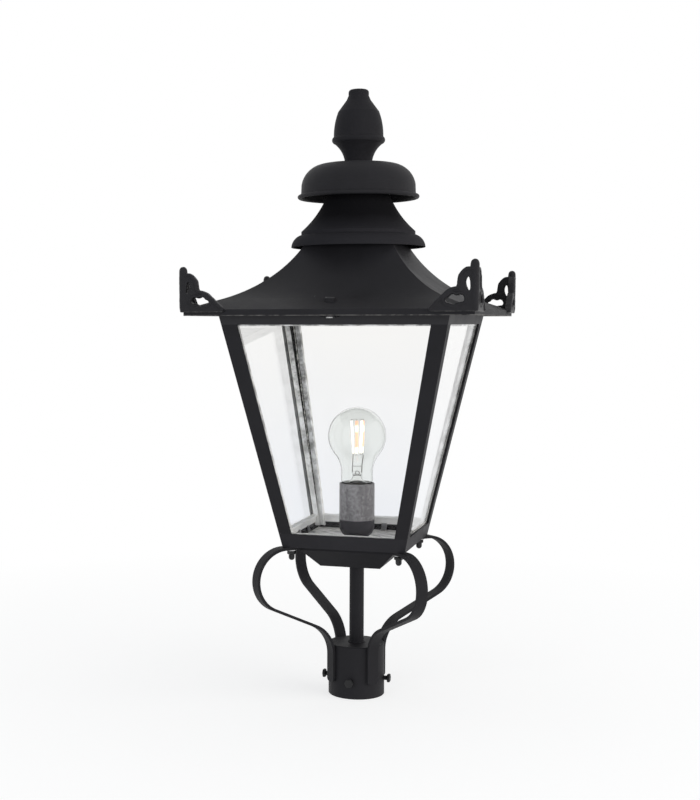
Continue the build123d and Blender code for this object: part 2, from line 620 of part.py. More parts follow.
# ---- pan under the frame ----------------------------------------------------------------------
PAN_SHOULDER = FRAME_BASE - PAN_RIM
PAN_FLARE = (PAN_TOP_SIDE - PAN_BASE_SIDE) / 2 / (PAN_SHOULDER - PAN_BASE)
PAN_LEVEL_WALL = PAN_SHEET * hypot(PAN_FLARE, 1)  # the sloping sheet, measured level
PAN_MOUTH_HALF = PAN_TOP_SIDE / 2 - PAN_LEVEL_WALL
PAN_FLOOR_TOP = PAN_BASE + PAN_SHEET
with BuildPart() as gear_pan:
    add(tapered_block(PAN_BASE_SIDE / 2, PAN_TOP_SIDE / 2, PAN_BASE, PAN_SHOULDER))
    with BuildSketch(Plane.XY.offset(PAN_SHOULDER)):
        Rectangle(PAN_TOP_SIDE, PAN_TOP_SIDE)
    extrude(amount=PAN_RIM)
    pan_floor_half = PAN_MOUTH_HALF - PAN_FLARE * (PAN_SHOULDER - PAN_FLOOR_TOP)
    hollow = tapered_block(pan_floor_half, PAN_MOUTH_HALF, PAN_FLOOR_TOP, PAN_SHOULDER)
    add(hollow, mode=Mode.SUBTRACT)
    with BuildSketch(Plane.XY.offset(PAN_SHOULDER)):
        Rectangle(2 * PAN_MOUTH_HALF, 2 * PAN_MOUTH_HALF)
    extrude(amount=PAN_RIM, mode=Mode.SUBTRACT)
    with Locations((0, 0, PAN_BASE)):
        Cylinder(TUBE_BORE / 2, PAN_SHEET, align=ABOVE, mode=Mode.SUBTRACT)
gear_pan.part.label = "gear_pan"
export_step(gear_pan.part, "parts/gear_pan.step")

# ---- roof sheet, its seat on the frame, and the hole under the vent ---------------------------
with BuildPart() as roof_form:
    extrude(roof_section(Plane.XZ), amount=EAVE_HALF, both=True)
    extrude(roof_section(Plane.YZ), amount=EAVE_HALF, both=True, mode=Mode.INTERSECT)

with BuildPart() as roof_hollow:
    extrude(roof_section(Plane.XZ, ROOF_SHEET), amount=EAVE_HALF, both=True)
    extrude(roof_section(Plane.YZ, ROOF_SHEET), amount=EAVE_HALF, both=True, mode=Mode.INTERSECT)

CATCH_REACH = EAVE_HALF - CATCH_SETBACK
CATCH_SEAT = band_height(CATCH_REACH - CATCH_BOSS_RADIUS) + CATCH_BOSS_LIP
with BuildPart() as roof_shell:
    add(roof_form.part)
    with Locations((0, -CATCH_REACH, CATCH_SEAT)):
        Cylinder(CATCH_BOSS_RADIUS, CATCH_SEAT - EAVE, align=BELOW)
    add(roof_hollow.part, mode=Mode.SUBTRACT)
    with Locations((0, -CATCH_REACH, CATCH_SEAT)):
        Hole(CATCH_SCREW_DIAMETER / 2 + RUNNING_FIT, depth=CATCH_SEAT - EAVE)
    with Locations((0, 0, ROOF_TOP)):
        Hole(VENT_RADIUS, depth=ROOF_SHEET)
        with GridLocations(VENT_SCREW_SPACING, VENT_SCREW_SPACING, 2, 2):
            Hole(SMALL_SCREW_DIAMETER / 2 + RUNNING_FIT, depth=ROOF_SHEET)
        with GridLocations(CROSSBAR_SCREW_SPACING, 1, 2, 1):
            Hole(SMALL_SCREW_DIAMETER / 2 + RUNNING_FIT, depth=ROOF_SHEET)
roof_shell.part.label = "roof_shell"
export_step(roof_shell.part, "parts/roof_shell.step")

with BuildPart() as roof_seat:
    with BuildSketch(Plane.XY.offset(FRAME_TOP)):
        Rectangle(FRAME_TOP_SIDE, FRAME_TOP_SIDE)
        Rectangle(FRAME_TOP_SIDE - 2 * SEAT_WIDTH, FRAME_TOP_SIDE - 2 * SEAT_WIDTH, mode=Mode.SUBTRACT)
    extrude(amount=SEAT_HEIGHT)
    add(roof_hollow.part, mode=Mode.INTERSECT)
roof_seat.part.label = "roof_seat"
export_step(roof_seat.part, "parts/roof_seat.step")

# ---- vent neck, cap, rod and finial -----------------------------------------------------------
with BuildPart() as vent_neck:
    with BuildSketch(Plane.XZ):
        with BuildLine():
            rim = (SKIRT_RADIUS, ROOF_TOP - SKIRT_DROP)
            swell = (SKIRT_SWELL_RADIUS, ROOF_TOP - SKIRT_SWELL_DROP)
            ovolo = ThreePointArc(rim, swell, (STEP_RADIUS, ROOF_TOP + STEP_FOOT))
            step = Line(ovolo @ 1, (STEP_RADIUS, ROOF_TOP + STEP_FOOT + STEP_HEIGHT))
            waist = (NECK_WAIST_RADIUS, ROOF_TOP + NECK_WAIST_HEIGHT)
            ThreePointArc(step @ 1, waist, (NECK_TOP_RADIUS, ROOF_TOP + NECK_HEIGHT))
            offset(amount=SPUN_SHEET, side=Side.LEFT, kind=Kind.INTERSECTION)
        make_face()
        with BuildLine():
            web_edge = STEP_RADIUS - SPUN_SHEET / 2
            Polyline(
                (VENT_RADIUS, ROOF_TOP),
                (web_edge, ROOF_TOP),
                (web_edge, WEB_TOP),
                (VENT_RADIUS, WEB_TOP),
                close=True,
            )
        make_face()
    revolve(axis=Axis.Z)
    with Locations((0, 0, WEB_TOP)):
        with GridLocations(VENT_SCREW_SPACING, VENT_SCREW_SPACING, 2, 2):
            Hole(SMALL_SCREW_DIAMETER / 2 + RUNNING_FIT, depth=NECK_WEB)
        with GridLocations(CROSSBAR_SCREW_SPACING, 1, 2, 1):
            Hole(SMALL_SCREW_DIAMETER / 2 + RUNNING_FIT, depth=NECK_WEB)
vent_neck.part.label = "vent_neck"
export_step(vent_neck.part, "parts/vent_neck.step")

with BuildPart() as crossbar:
    with BuildSketch(Plane.XY.offset(WEB_TOP)):
        SlotOverall(CROSSBAR_LENGTH, CROSSBAR_WIDTH)
        Circle(ROD_DIAMETER / 2 + RUNNING_FIT, mode=Mode.SUBTRACT)
        with GridLocations(CROSSBAR_SCREW_SPACING, 1, 2, 1):
            Circle(SMALL_SCREW_DIAMETER / 2 + RUNNING_FIT, mode=Mode.SUBTRACT)
    extrude(amount=CROSSBAR_THICKNESS)
crossbar.part.label = "vent_crossbar"
export_step(crossbar.part, "parts/vent_crossbar.step")

with BuildPart() as vent_screws:
    for pitch, rows, seat in (
        (VENT_SCREW_SPACING, 2, WEB_TOP),
        (CROSSBAR_SCREW_SPACING, 1, CROSSBAR_TOP),
    ):
        with Locations((0, 0, seat)):
            with GridLocations(pitch, pitch, 2, rows):
                Cylinder(SMALL_SCREW_HEAD, SMALL_SCREW_HEAD_HEIGHT, align=ABOVE)
                shank = seat - ROOF_TOP + ROOF_SHEET + SMALL_SCREW_GRIP
                Cylinder(SMALL_SCREW_DIAMETER / 2, shank, align=BELOW)
vent_screws.part.label = "vent_screws"
export_step(vent_screws.part, "parts/vent_screws.step")

ROD_FOOT = WEB_TOP - ROD_NUT_HEIGHT - ROD_TAIL
with BuildPart() as vent_rod:
    with Locations((0, 0, ROD_FOOT)):
        Cylinder(ROD_DIAMETER / 2, CAP_CROWN + ROD_GRIP - ROD_FOOT, align=ABOVE)
vent_rod.part.label = "vent_rod"
export_step(vent_rod.part, "parts/vent_rod.step")

with BuildPart() as rod_nuts:
    for nut_base in (WEB_TOP - ROD_NUT_HEIGHT, CROSSBAR_TOP, CAP_CROWN - SPUN_SHEET - ROD_NUT_HEIGHT):
        with BuildSketch(Plane.XY.offset(nut_base)):
            RegularPolygon(ROD_NUT_HEX / 2, 6, major_radius=False)
            Circle(ROD_DIAMETER / 2 + RUNNING_FIT, mode=Mode.SUBTRACT)
        extrude(amount=ROD_NUT_HEIGHT)
rod_nuts.part.label = "rod_nuts"
export_step(rod_nuts.part, "parts/rod_nuts.step")

with BuildPart() as vent_cap:
    with BuildSketch(Plane.XZ):
        with BuildLine():
            seat_flat = Line((ROD_DIAMETER / 2 + RUNNING_FIT, CAP_CROWN), (CAP_SEAT_RADIUS, CAP_CROWN))
            slope = Line(seat_flat @ 1, (CAP_SHOULDER_RADIUS, CAP_CROWN - CAP_SHOULDER_DROP))
            bend = ThreePointArc(
                slope @ 1,
                (CAP_BEND_RADIUS, CAP_CROWN - CAP_BEND_DROP),
                (CAP_SIDE_RADIUS, CAP_CROWN - CAP_SIDE_DROP),
            )
            Line(bend @ 1, (CAP_RADIUS, CAP_RIM))
            offset(amount=SPUN_SHEET, side=Side.RIGHT, kind=Kind.INTERSECTION)
        make_face()
        with Locations((CAP_RADIUS + BEAD_RADIUS - SPUN_SHEET / 2, CAP_RIM)):
            Circle(BEAD_RADIUS)
    revolve(axis=Axis.Z)
vent_cap.part.label = "vent_cap"
export_step(vent_cap.part, "parts/vent_cap.step")

# the finial is an acorn on a flared foot
with BuildPart() as finial:
    with BuildSketch(Plane.XZ):
        with BuildLine():
            base = Line((0, CAP_CROWN), (FINIAL_FOOT_RADIUS, CAP_CROWN))
            collar_line = CAP_CROWN + FINIAL_COLLAR_HEIGHT
            under = (FINIAL_COLLAR_RADIUS - FINIAL_COLLAR_LIP, collar_line - FINIAL_COLLAR_HALF)
            flare_middle = (FINIAL_FLARE_RADIUS, CAP_CROWN + FINIAL_FLARE_HEIGHT)
            flare = ThreePointArc(base @ 1, flare_middle, under)
            over = (FINIAL_CUP_RADIUS, collar_line + FINIAL_COLLAR_HALF)
            ring = ThreePointArc(flare @ 1, (FINIAL_COLLAR_RADIUS, collar_line), over)
            shoulder = (FINIAL_SHOULDER_RADIUS, CAP_CROWN + FINIAL_SHOULDER_HEIGHT)
            belly = (FINIAL_BELLY_RADIUS, CAP_CROWN + FINIAL_BELLY_HEIGHT)
            acorn = ThreePointArc(ring @ 1, belly, shoulder)
            crown = Line(acorn @ 1, (FINIAL_NECK_RADIUS, CAP_CROWN + FINIAL_NECK_HEIGHT))
            tip_foot = (FINIAL_TIP_RADIUS, CAP_CROWN + FINIAL_HEIGHT - 2 * FINIAL_TIP_EDGE)
            nipple = Line(crown @ 1, tip_foot)
            side = Line(nipple @ 1, (FINIAL_TIP_RADIUS, CAP_CROWN + FINIAL_HEIGHT - FINIAL_TIP_EDGE))
            tip_top = (FINIAL_TIP_RADIUS - FINIAL_TIP_EDGE, CAP_CROWN + FINIAL_HEIGHT)
            cheek = RadiusArc(side @ 1, tip_top, -FINIAL_TIP_EDGE)
            Polyline(cheek @ 1, (0, CAP_CROWN + FINIAL_HEIGHT), (0, CAP_CROWN))
        make_face()
    revolve(axis=Axis.Z)
    with Locations((0, 0, CAP_CROWN)):
        Cylinder(ROD_DIAMETER / 2 + RUNNING_FIT, ROD_GRIP + ROD_END_GAP, align=ABOVE, mode=Mode.SUBTRACT)
finial.part.label = "finial"
export_step(finial.part, "parts/finial.step")

# ---- pierced cast ornaments on the eave's corners ---------------------------------------------


def wing_point(place):
    """A point of the back right ornament's wing in the plane of the back drip edge."""
    along, up = place
    return (EAVE_HALF - along, EAVE + up)


with BuildPart() as ornament:
    with BuildSketch(Plane.XZ.offset(-EAVE_HALF)):
        with BuildLine():
            hump = ThreePointArc(*[wing_point(place) for place in (WING_ROOT, WING_HUMP, WING_SHOULDER)])
            neck = Line(hump @ 1, wing_point(WING_WAIST))
            lobe = ThreePointArc(neck @ 1, wing_point(WING_LOBE), wing_point(WING_LOBE_END))
            tail = Line(lobe @ 1, wing_point(WING_NOSE))
            toe = ThreePointArc(tail @ 1, wing_point(WING_TOE), wing_point(WING_HEEL))
            root, top = wing_point((0, WING_HEEL[1])), wing_point((0, WING_ROOT[1]))
            Polyline(toe @ 1, root, top, hump @ 0)
        make_face()
        # the upper opening is a slanted drop, the lower one three round lobes that meet in cusps
        with BuildSketch(Plane.XY, mode=Mode.SUBTRACT):
            for place, slot_radius in SLOT_CIRCLES:
                with Locations(wing_point(place)):
                    Circle(slot_radius)
            make_hull()
        for place, lobe_radius in LOBE_CIRCLES:
            with Locations(wing_point(place)):
                Circle(lobe_radius, mode=Mode.SUBTRACT)
    extrude(amount=ORNAMENT_PLATE / 2, both=True)
    mirror(about=Plane(origin=(0, 0, 0), z_dir=(1, -1, 0)))
    # the upright bar on the corner, with its foot and domed top
    with BuildSketch(Plane(origin=(EAVE_HALF, EAVE_HALF, EAVE), x_dir=(1, 0, 0), z_dir=(0, -1, 0))):
        with BuildLine():
            foot = Line((0, WING_HEEL[1]), (ORNAMENT_FOOT_RING, WING_HEEL[1]))
            foot_side = Line(foot @ 1, (ORNAMENT_FOOT_RING, WING_HEEL[1] + ORNAMENT_FOOT_DEPTH))
            bar_top = ORNAMENT_HEIGHT - ORNAMENT_BAR_RADIUS
            bar_side = Line((ORNAMENT_BAR_RADIUS, (foot_side @ 1).Y), (ORNAMENT_BAR_RADIUS, bar_top))
            Line(foot_side @ 1, bar_side @ 0)
            dome = RadiusArc(bar_side @ 1, (0, ORNAMENT_HEIGHT), -ORNAMENT_BAR_RADIUS)
            Line(dome @ 1, foot @ 0)
        make_face()
    revolve(axis=Axis((EAVE_HALF, EAVE_HALF, 0), (0, 0, 1)))
    add(roof_form.part, mode=Mode.SUBTRACT)

for corner, angle in CORNERS.items():
    with BuildPart() as casting:
        add(ornament.part, rotation=(0, 0, angle))
    casting.part.label = f"corner_ornament_{corner}"
    export_step(casting.part, f"parts/corner_ornament_{corner}.step")

# ---- roof hinges at the back ------------------------------------------------------------------
PIN_Y = FRAME_TOP_SIDE / 2 + HINGE_SETBACK
BAND_TILT = sqrt(1 + BAND_SLOPE**2)
SHEET_UNDERSIDE = ROOF_SHEET * BAND_TILT
PIN_Z = band_height(PIN_Y) - SHEET_UNDERSIDE - HINGE_DROP * BAND_TILT
HINGE_LENGTH = 3 * HINGE_KNUCKLE
SIDE_KNUCKLE = HINGE_KNUCKLE - HINGE_GAP


def underside(y):
    """Height of the eave band's underside at y."""
    return band_height(y) - SHEET_UNDERSIDE


KNUCKLE_FOOT = PIN_Z - HINGE_KNUCKLE_RADIUS
LEAF_TOP = KNUCKLE_FOOT + HINGE_LEAF
LEAF_FOOT = LEAF_TOP - HINGE_LEAF_HEIGHT
with BuildPart() as frame_leaf:
    for side in (-1, 1):
        with BuildSketch(Plane.YZ.offset(side * HINGE_KNUCKLE)):
            with Locations((PIN_Y, PIN_Z)):
                Circle(HINGE_KNUCKLE_RADIUS)
            with BuildLine():
                Polyline(
                    (half_side(KNUCKLE_FOOT), KNUCKLE_FOOT),
                    (PIN_Y, KNUCKLE_FOOT),
                    (PIN_Y, LEAF_TOP),
                    (half_side(LEAF_TOP), LEAF_TOP),
                    close=True,
                )
            make_face()
        extrude(amount=SIDE_KNUCKLE / 2, both=True)
    with BuildSketch(Plane.YZ):
        with BuildLine():
            Polyline(
                (half_side(LEAF_FOOT), LEAF_FOOT),
                (half_side(LEAF_FOOT) + HINGE_LEAF, LEAF_FOOT),
                (half_side(LEAF_TOP) + HINGE_LEAF, LEAF_TOP),
                (half_side(LEAF_TOP), LEAF_TOP),
                close=True,
            )
        make_face()
    extrude(amount=HINGE_LENGTH / 2, both=True)
    with BuildSketch(Plane.YZ):
        with Locations((PIN_Y, PIN_Z)):
            Circle(HINGE_PIN_RADIUS + RUNNING_FIT)
    extrude(amount=HINGE_LENGTH, both=True, mode=Mode.SUBTRACT)

with BuildPart() as roof_leaf:
    with BuildSketch(Plane.YZ):
        with BuildLine():
            near, far = PIN_Y, PIN_Y + HINGE_LEAF_REACH
            drop = HINGE_LEAF * BAND_TILT
            Polyline(
                (near, underside(near)),
                (far, underside(far)),
                (far, underside(far) - drop),
                (near, underside(near) - drop),
                close=True,
            )
        make_face()
        with Locations((PIN_Y, PIN_Z)):
            Circle(HINGE_KNUCKLE_RADIUS)
        with BuildLine():
            Polyline(
                (PIN_Y - HINGE_LEAF / 2, PIN_Z),
                (PIN_Y + HINGE_LEAF / 2, PIN_Z),
                (PIN_Y + HINGE_LEAF / 2, underside(PIN_Y + HINGE_LEAF / 2)),
                (PIN_Y - HINGE_LEAF / 2, underside(PIN_Y - HINGE_LEAF / 2)),
                close=True,
            )
        make_face()
    extrude(amount=SIDE_KNUCKLE / 2, both=True)
    with BuildSketch(Plane.YZ):
        with BuildLine():
            near = PIN_Y + HINGE_KNUCKLE_RADIUS + HINGE_LEAF_GAP
            Polyline(
                (near, underside(near)),
                (far, underside(far)),
                (far, underside(far) - drop),
                (near, underside(near) - drop),
                close=True,
            )
        make_face()
    extrude(amount=HINGE_LENGTH / 2, both=True)
    with BuildSketch(Plane.YZ):
        with Locations((PIN_Y, PIN_Z)):
            Circle(HINGE_PIN_RADIUS + RUNNING_FIT)
    extrude(amount=HINGE_LENGTH, both=True, mode=Mode.SUBTRACT)

with BuildPart() as hinge_pin:
    with BuildSketch(Plane.YZ):
        with Locations((PIN_Y, PIN_Z)):
            Circle(HINGE_PIN_RADIUS)
    extrude(amount=HINGE_LENGTH / 2, both=True)

for node, master in (
    ("hinge_frame_leaves", frame_leaf),
    ("hinge_roof_leaves", roof_leaf),
    ("hinge_pins", hinge_pin),
):
    with BuildPart() as pair:
        with GridLocations(HINGE_SPACING, 1, 2, 1):
            add(master.part)
    pair.part.label = node
    export_step(pair.part, f"parts/{node}.step")

# ---- roof catch at the front: screw in the roof, nut and lug on the frame ---------------------
LUG_UNDERSIDE = EAVE - LUG_DROP
with BuildPart() as catch_lug:
    with BuildSketch(Plane.XY.offset(LUG_UNDERSIDE)):
        with Locations((0, -CATCH_REACH - LUG_MARGIN)):
            lug_root = CATCH_REACH + LUG_MARGIN - half_side(LUG_UNDERSIDE) + POST_FLANGE
            Rectangle(LUG_WIDTH, lug_root, align=(Align.CENTER, Align.MIN))
        with Locations((0, -CATCH_REACH)):
            Circle(CATCH_NUT_BARREL + RUNNING_FIT, mode=Mode.SUBTRACT)
    extrude(amount=LUG_THICKNESS)
    add(frame_block(BASE_RAIL_TOP, FRAME_TOP), mode=Mode.SUBTRACT)
catch_lug.part.label = "catch_lug"
export_step(catch_lug.part, "parts/catch_lug.step")

with BuildPart() as catch_nut:
    with BuildSketch(Plane.XZ):
        with BuildLine():
            bore = CATCH_SCREW_DIAMETER / 2 + CATCH_SLACK
            Polyline(
                (bore, LUG_UNDERSIDE - CATCH_NUT_FLANGE),
                (CATCH_NUT_RADIUS, LUG_UNDERSIDE - CATCH_NUT_FLANGE),
                (CATCH_NUT_RADIUS, LUG_UNDERSIDE),
                (CATCH_NUT_BARREL, LUG_UNDERSIDE),
                (CATCH_NUT_BARREL, LUG_UNDERSIDE + CATCH_NUT_HEIGHT),
                (bore, LUG_UNDERSIDE + CATCH_NUT_HEIGHT),
                close=True,
            )
        make_face()
    revolve(axis=Axis.Z)
with BuildPart() as placed_catch_nut:
    with Locations((0, -CATCH_REACH, 0)):
        add(catch_nut.part)
placed_catch_nut.part.label = "catch_nut"
export_step(placed_catch_nut.part, "parts/catch_nut.step")

with BuildPart() as catch_screw:
    with Locations((0, -CATCH_REACH, CATCH_SEAT)):
        Cylinder(CATCH_HEAD_RADIUS, CATCH_HEAD_HEIGHT, align=ABOVE)
    fillet(catch_screw.edges().group_by(Axis.Z)[-1], radius=CATCH_HEAD_EDGE)
    with Locations((0, -CATCH_REACH, CATCH_SEAT)):
        screw_length = CATCH_SEAT - LUG_UNDERSIDE + CATCH_NUT_FLANGE
        Cylinder(CATCH_SCREW_DIAMETER / 2, screw_length, align=BELOW)
catch_screw.part.label = "catch_screw"
export_step(catch_screw.part, "parts/catch_screw.step")

# ---- lampholder -------------------------------------------------------------------------------
HOLDER_RIM = FLOOR_TOP + HOLDER_HEIGHT
SPLIT = FLOOR_TOP + HOLDER_SPLIT
CORE_TOP = SPLIT + HOLDER_CORE / 2
with BuildPart() as holder_base:
    with BuildSketch(Plane.XZ):
        with BuildLine():
            sole = Line((0, FLOOR_TOP), (HOLDER_FOOT_RADIUS, FLOOR_TOP))
            bend = ThreePointArc(
                sole @ 1,
                (HOLDER_BEND_RADIUS, FLOOR_TOP + HOLDER_BEND_HEIGHT),
                (HOLDER_RADIUS, FLOOR_TOP + HOLDER_SIDE_HEIGHT),
            )
            Polyline(bend @ 1, (HOLDER_RADIUS, SPLIT), (0, SPLIT), (0, FLOOR_TOP))
        make_face()
    revolve(axis=Axis.Z)
    with Locations((0, 0, SPLIT)):
        Cylinder(HOLDER_BORE, HOLDER_CORE / 2, align=BELOW, mode=Mode.SUBTRACT)
        Cylinder(HOLDER_FOOT_RADIUS, HOLDER_SPLIT - NIPPLE_STAND, align=BELOW, mode=Mode.SUBTRACT)
        Cylinder(NIPPLE_DIAMETER / 2 + RUNNING_FIT, HOLDER_SPLIT, align=BELOW, mode=Mode.SUBTRACT)
holder_base.part.label = "holder_base"
export_step(holder_base.part, "parts/holder_base.step")

with BuildPart() as holder_skirt:
    with BuildSketch(Plane.XY.offset(SPLIT)):
        Circle(HOLDER_RADIUS)
        Circle(HOLDER_BORE, mode=Mode.SUBTRACT)
    extrude(amount=HOLDER_RIM - SPLIT)
    fillet(holder_skirt.edges().group_by(Axis.Z)[-1], radius=HOLDER_RIM_EDGE)
holder_skirt.part.label = "holder_skirt"
export_step(holder_skirt.part, "parts/holder_skirt.step")

with BuildPart() as holder_core:
    with BuildSketch(Plane.XY.offset(CORE_TOP)):
        Circle(HOLDER_BORE - HINGE_GAP)
        with GridLocations(HOLDER_BORE, 1, 2, 1):
            Circle(SMALL_SCREW_DIAMETER / 2, mode=Mode.SUBTRACT)
    extrude(amount=-HOLDER_CORE)
holder_core.part.label = "holder_core"
export_step(holder_core.part, "parts/holder_core.step")

with BuildPart() as holder_shell:
    with BuildSketch(Plane.XY.offset(CORE_TOP)):
        Circle(HOLDER_SHELL_RADIUS)
        Circle(HOLDER_SHELL_RADIUS - HOLDER_SHELL_WALL, mode=Mode.SUBTRACT)
    extrude(amount=HOLDER_SHELL_HEIGHT)
holder_shell.part.label = "holder_shell"
export_step(holder_shell.part, "parts/holder_shell.step")

BULB_FOOT = CORE_TOP + HOLDER_TONGUE + BULB_CONTACT_GAP
with BuildPart() as holder_contact:
    with BuildSketch(Plane.XZ):
        with BuildLine():
            reach = LAMP_CONTACT_RADIUS + TONGUE_MARGIN
            Polyline(
                (-reach, CORE_TOP),
                (reach, CORE_TOP),
                (reach, CORE_TOP + TONGUE_SHEET),
                (TONGUE_SHEET - reach, CORE_TOP + TONGUE_SHEET),
                (LAMP_CONTACT_RADIUS, CORE_TOP + HOLDER_TONGUE - TONGUE_SHEET),
                (LAMP_CONTACT_RADIUS, CORE_TOP + HOLDER_TONGUE),
                (-LAMP_CONTACT_RADIUS / 2, CORE_TOP + HOLDER_TONGUE),
                (-reach, CORE_TOP + 2 * TONGUE_SHEET),
                close=True,
            )
        make_face()
    extrude(amount=LAMP_CONTACT_RADIUS / 2, both=True)
holder_contact.part.label = "holder_contact"
export_step(holder_contact.part, "parts/holder_contact.step")

with BuildPart() as holder_nipple:
    with BuildSketch(Plane.XY.offset(FLOOR_TOP + NIPPLE_STAND)):
        Circle(NIPPLE_DIAMETER / 2)
        Circle(NIPPLE_BORE / 2, mode=Mode.SUBTRACT)
    extrude(amount=-(NIPPLE_STAND + FLOOR_THICKNESS + 2 * NIPPLE_NUT_HEIGHT))
    with BuildSketch(Plane.XY.offset(LEDGE_TOP)):
        RegularPolygon(NIPPLE_NUT_HEX / 2, 6, major_radius=False)
        Circle(NIPPLE_DIAMETER / 2, mode=Mode.SUBTRACT)
    extrude(amount=-NIPPLE_NUT_HEIGHT)
holder_nipple.part.label = "holder_nipple"
export_step(holder_nipple.part, "parts/holder_nipple.step")

# ---- bulb -------------------------------------------------------------------------------------
BULB_CROWN = BULB_FOOT + BULB_LENGTH
BULB_CENTRE = BULB_CROWN - BULB_RADIUS
SHELL_FOOT = BULB_FOOT + LAMP_CONTACT_HEIGHT + LAMP_INSULATOR_HEIGHT
SHELL_TOP = SHELL_FOOT + LAMP_CAP_HEIGHT
NECK_PLACE = BULB_CROWN - BULB_NECK_TOP
NECK_FOOT = BULB_CROWN - BULB_NECK_BASE
# below its widest line the ball meets a hollow curve that ends upright at the neck
BULB_FALL = BULB_CENTRE - NECK_PLACE
BULB_REVERSE = (BULB_FALL**2 - BULB_RADIUS**2 + BULB_NECK_RADIUS**2) / 2 / (BULB_RADIUS - BULB_NECK_RADIUS)
BULB_HOLLOW_CENTRE = Vector(BULB_NECK_RADIUS + BULB_REVERSE, NECK_PLACE)
BULB_BEARING = (BULB_HOLLOW_CENTRE - Vector(0, BULB_CENTRE)).normalized()
BULB_TURN = Vector(0, BULB_CENTRE) + BULB_BEARING * BULB_RADIUS
BULB_REVERSE_MIDDLE = BULB_HOLLOW_CENTRE - (BULB_BEARING + Vector(1, 0)).normalized() * BULB_REVERSE
with BuildPart() as bulb_glass:
    with BuildSketch(Plane.XZ):
        with BuildLine():
            ball = ThreePointArc((0, BULB_CROWN), (BULB_RADIUS, BULB_CENTRE), BULB_TURN)
            sweep_down = ThreePointArc(ball @ 1, BULB_REVERSE_MIDDLE, (BULB_NECK_RADIUS, NECK_PLACE))
            throat = Line(sweep_down @ 1, (BULB_NECK_RADIUS, NECK_FOOT))
            ThreePointArc(
                throat @ 1,
                (BULB_NECK_RADIUS - BULB_SEAL_BEND, NECK_FOOT - BULB_SEAL_BEND_DROP),
                (BULB_SEAL_RADIUS, SHELL_TOP),
            )
            offset(amount=BULB_GLASS, side=Side.RIGHT, kind=Kind.INTERSECTION)
        make_face()
    revolve(axis=Axis.Z)
bulb_glass.part.label = "bulb_glass"
export_step(bulb_glass.part, "parts/bulb_glass.step")

with BuildPart() as bulb_cap:
    with BuildSketch(Plane.XZ):
        with Locations((LAMP_CAP_ROOT, SHELL_FOOT)):
            Rectangle(BULB_GLASS, LAMP_CAP_HEIGHT, align=(Align.MAX, Align.MIN))
        for turn in range(LAMP_CAP_TURNS):
            crest = SHELL_FOOT + LAMP_CAP_LEAD + turn * LAMP_CAP_PITCH
            with BuildLine():
                Polyline(
                    (LAMP_CAP_ROOT - BULB_GLASS / 2, crest - LAMP_CAP_RIDGE),
                    (LAMP_CAP_ROOT, crest - LAMP_CAP_RIDGE),
                    (LAMP_CAP_RADIUS, crest),
                    (LAMP_CAP_ROOT, crest + LAMP_CAP_RIDGE),
                    (LAMP_CAP_ROOT - BULB_GLASS / 2, crest + LAMP_CAP_RIDGE),
                    close=True,
                )
            make_face()
        with Locations((0, BULB_FOOT)):
            Rectangle(2 * LAMP_CONTACT_RADIUS, LAMP_CONTACT_HEIGHT, align=(Align.CENTER, Align.MIN))
        split(bisect_by=Plane.YZ, keep=Keep.TOP)
    revolve(axis=Axis.Z)
bulb_cap.part.label = "bulb_cap"
export_step(bulb_cap.part, "parts/bulb_cap.step")

with BuildPart() as bulb_insulator:
    with BuildSketch(Plane.XY.offset(BULB_FOOT + LAMP_CONTACT_HEIGHT)):
        Circle(LAMP_CONTACT_RADIUS + LAMP_CONTACT_MARGIN)
    with BuildSketch(Plane.XY.offset(SHELL_FOOT)):
        Circle(LAMP_CAP_ROOT)
    loft()
bulb_insulator.part.label = "bulb_insulator"
export_step(bulb_insulator.part, "parts/bulb_insulator.step")

STEM_TUBE_TOP = SHELL_TOP + STEM_TUBE
PRESS_TOP = STEM_TUBE_TOP + PRESS_HEIGHT
FILAMENT_FOOT = PRESS_TOP + WIRE_LENGTH
with BuildPart() as bulb_stem:
    with BuildSketch(Plane.XZ):
        with BuildLine():
            foot_line = Line((0, SHELL_TOP), (STEM_FLARE, SHELL_TOP))
            flare_middle = (STEM_RADIUS + STEM_FLARE_HOLLOW, SHELL_TOP + STEM_FLARE_HEIGHT)
            taper = ThreePointArc(foot_line @ 1, flare_middle, (STEM_RADIUS, STEM_TUBE_TOP))
            Polyline(taper @ 1, (0, STEM_TUBE_TOP), (0, SHELL_TOP))
        make_face()
    revolve(axis=Axis.Z)
    with Locations((0, 0, STEM_TUBE_TOP)):
        Box(PRESS_WIDTH, PRESS_THICKNESS, PRESS_HEIGHT, align=ABOVE)
    for side in (-1, 1):
        with Locations((side * WIRE_SPREAD, 0, PRESS_TOP)):
            Cylinder(WIRE_RADIUS, WIRE_LENGTH, align=ABOVE)
bulb_stem.part.label = "bulb_stem"
export_step(bulb_stem.part, "parts/bulb_stem.step")

with BuildPart() as bulb_filaments:
    with Locations((0, 0, FILAMENT_FOOT)):
        with PolarLocations(FILAMENT_RING_RADIUS, FILAMENT_COUNT):
            Cylinder(FILAMENT_RADIUS, FILAMENT_LENGTH, rotation=(0, -FILAMENT_LEAN, 0), align=ABOVE)
        with PolarLocations(0, FILAMENT_COUNT):
            arm_reach = FILAMENT_RING_RADIUS + FILAMENT_RADIUS
            Box(arm_reach, 2 * WIRE_RADIUS, 2 * WIRE_RADIUS, align=(Align.MIN, Align.CENTER, Align.MIN))
bulb_filaments.part.label = "bulb_filaments"
export_step(bulb_filaments.part, "parts/bulb_filaments.step")
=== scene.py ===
"""A four-sided post top lantern: its finishes, small worked details, floor, light and camera."""

from math import cos, pi, radians, sin, sqrt

import bmesh
import bpy
from mathutils import Matrix, Vector, noise
from mathutils.geometry import tessellate_polygon


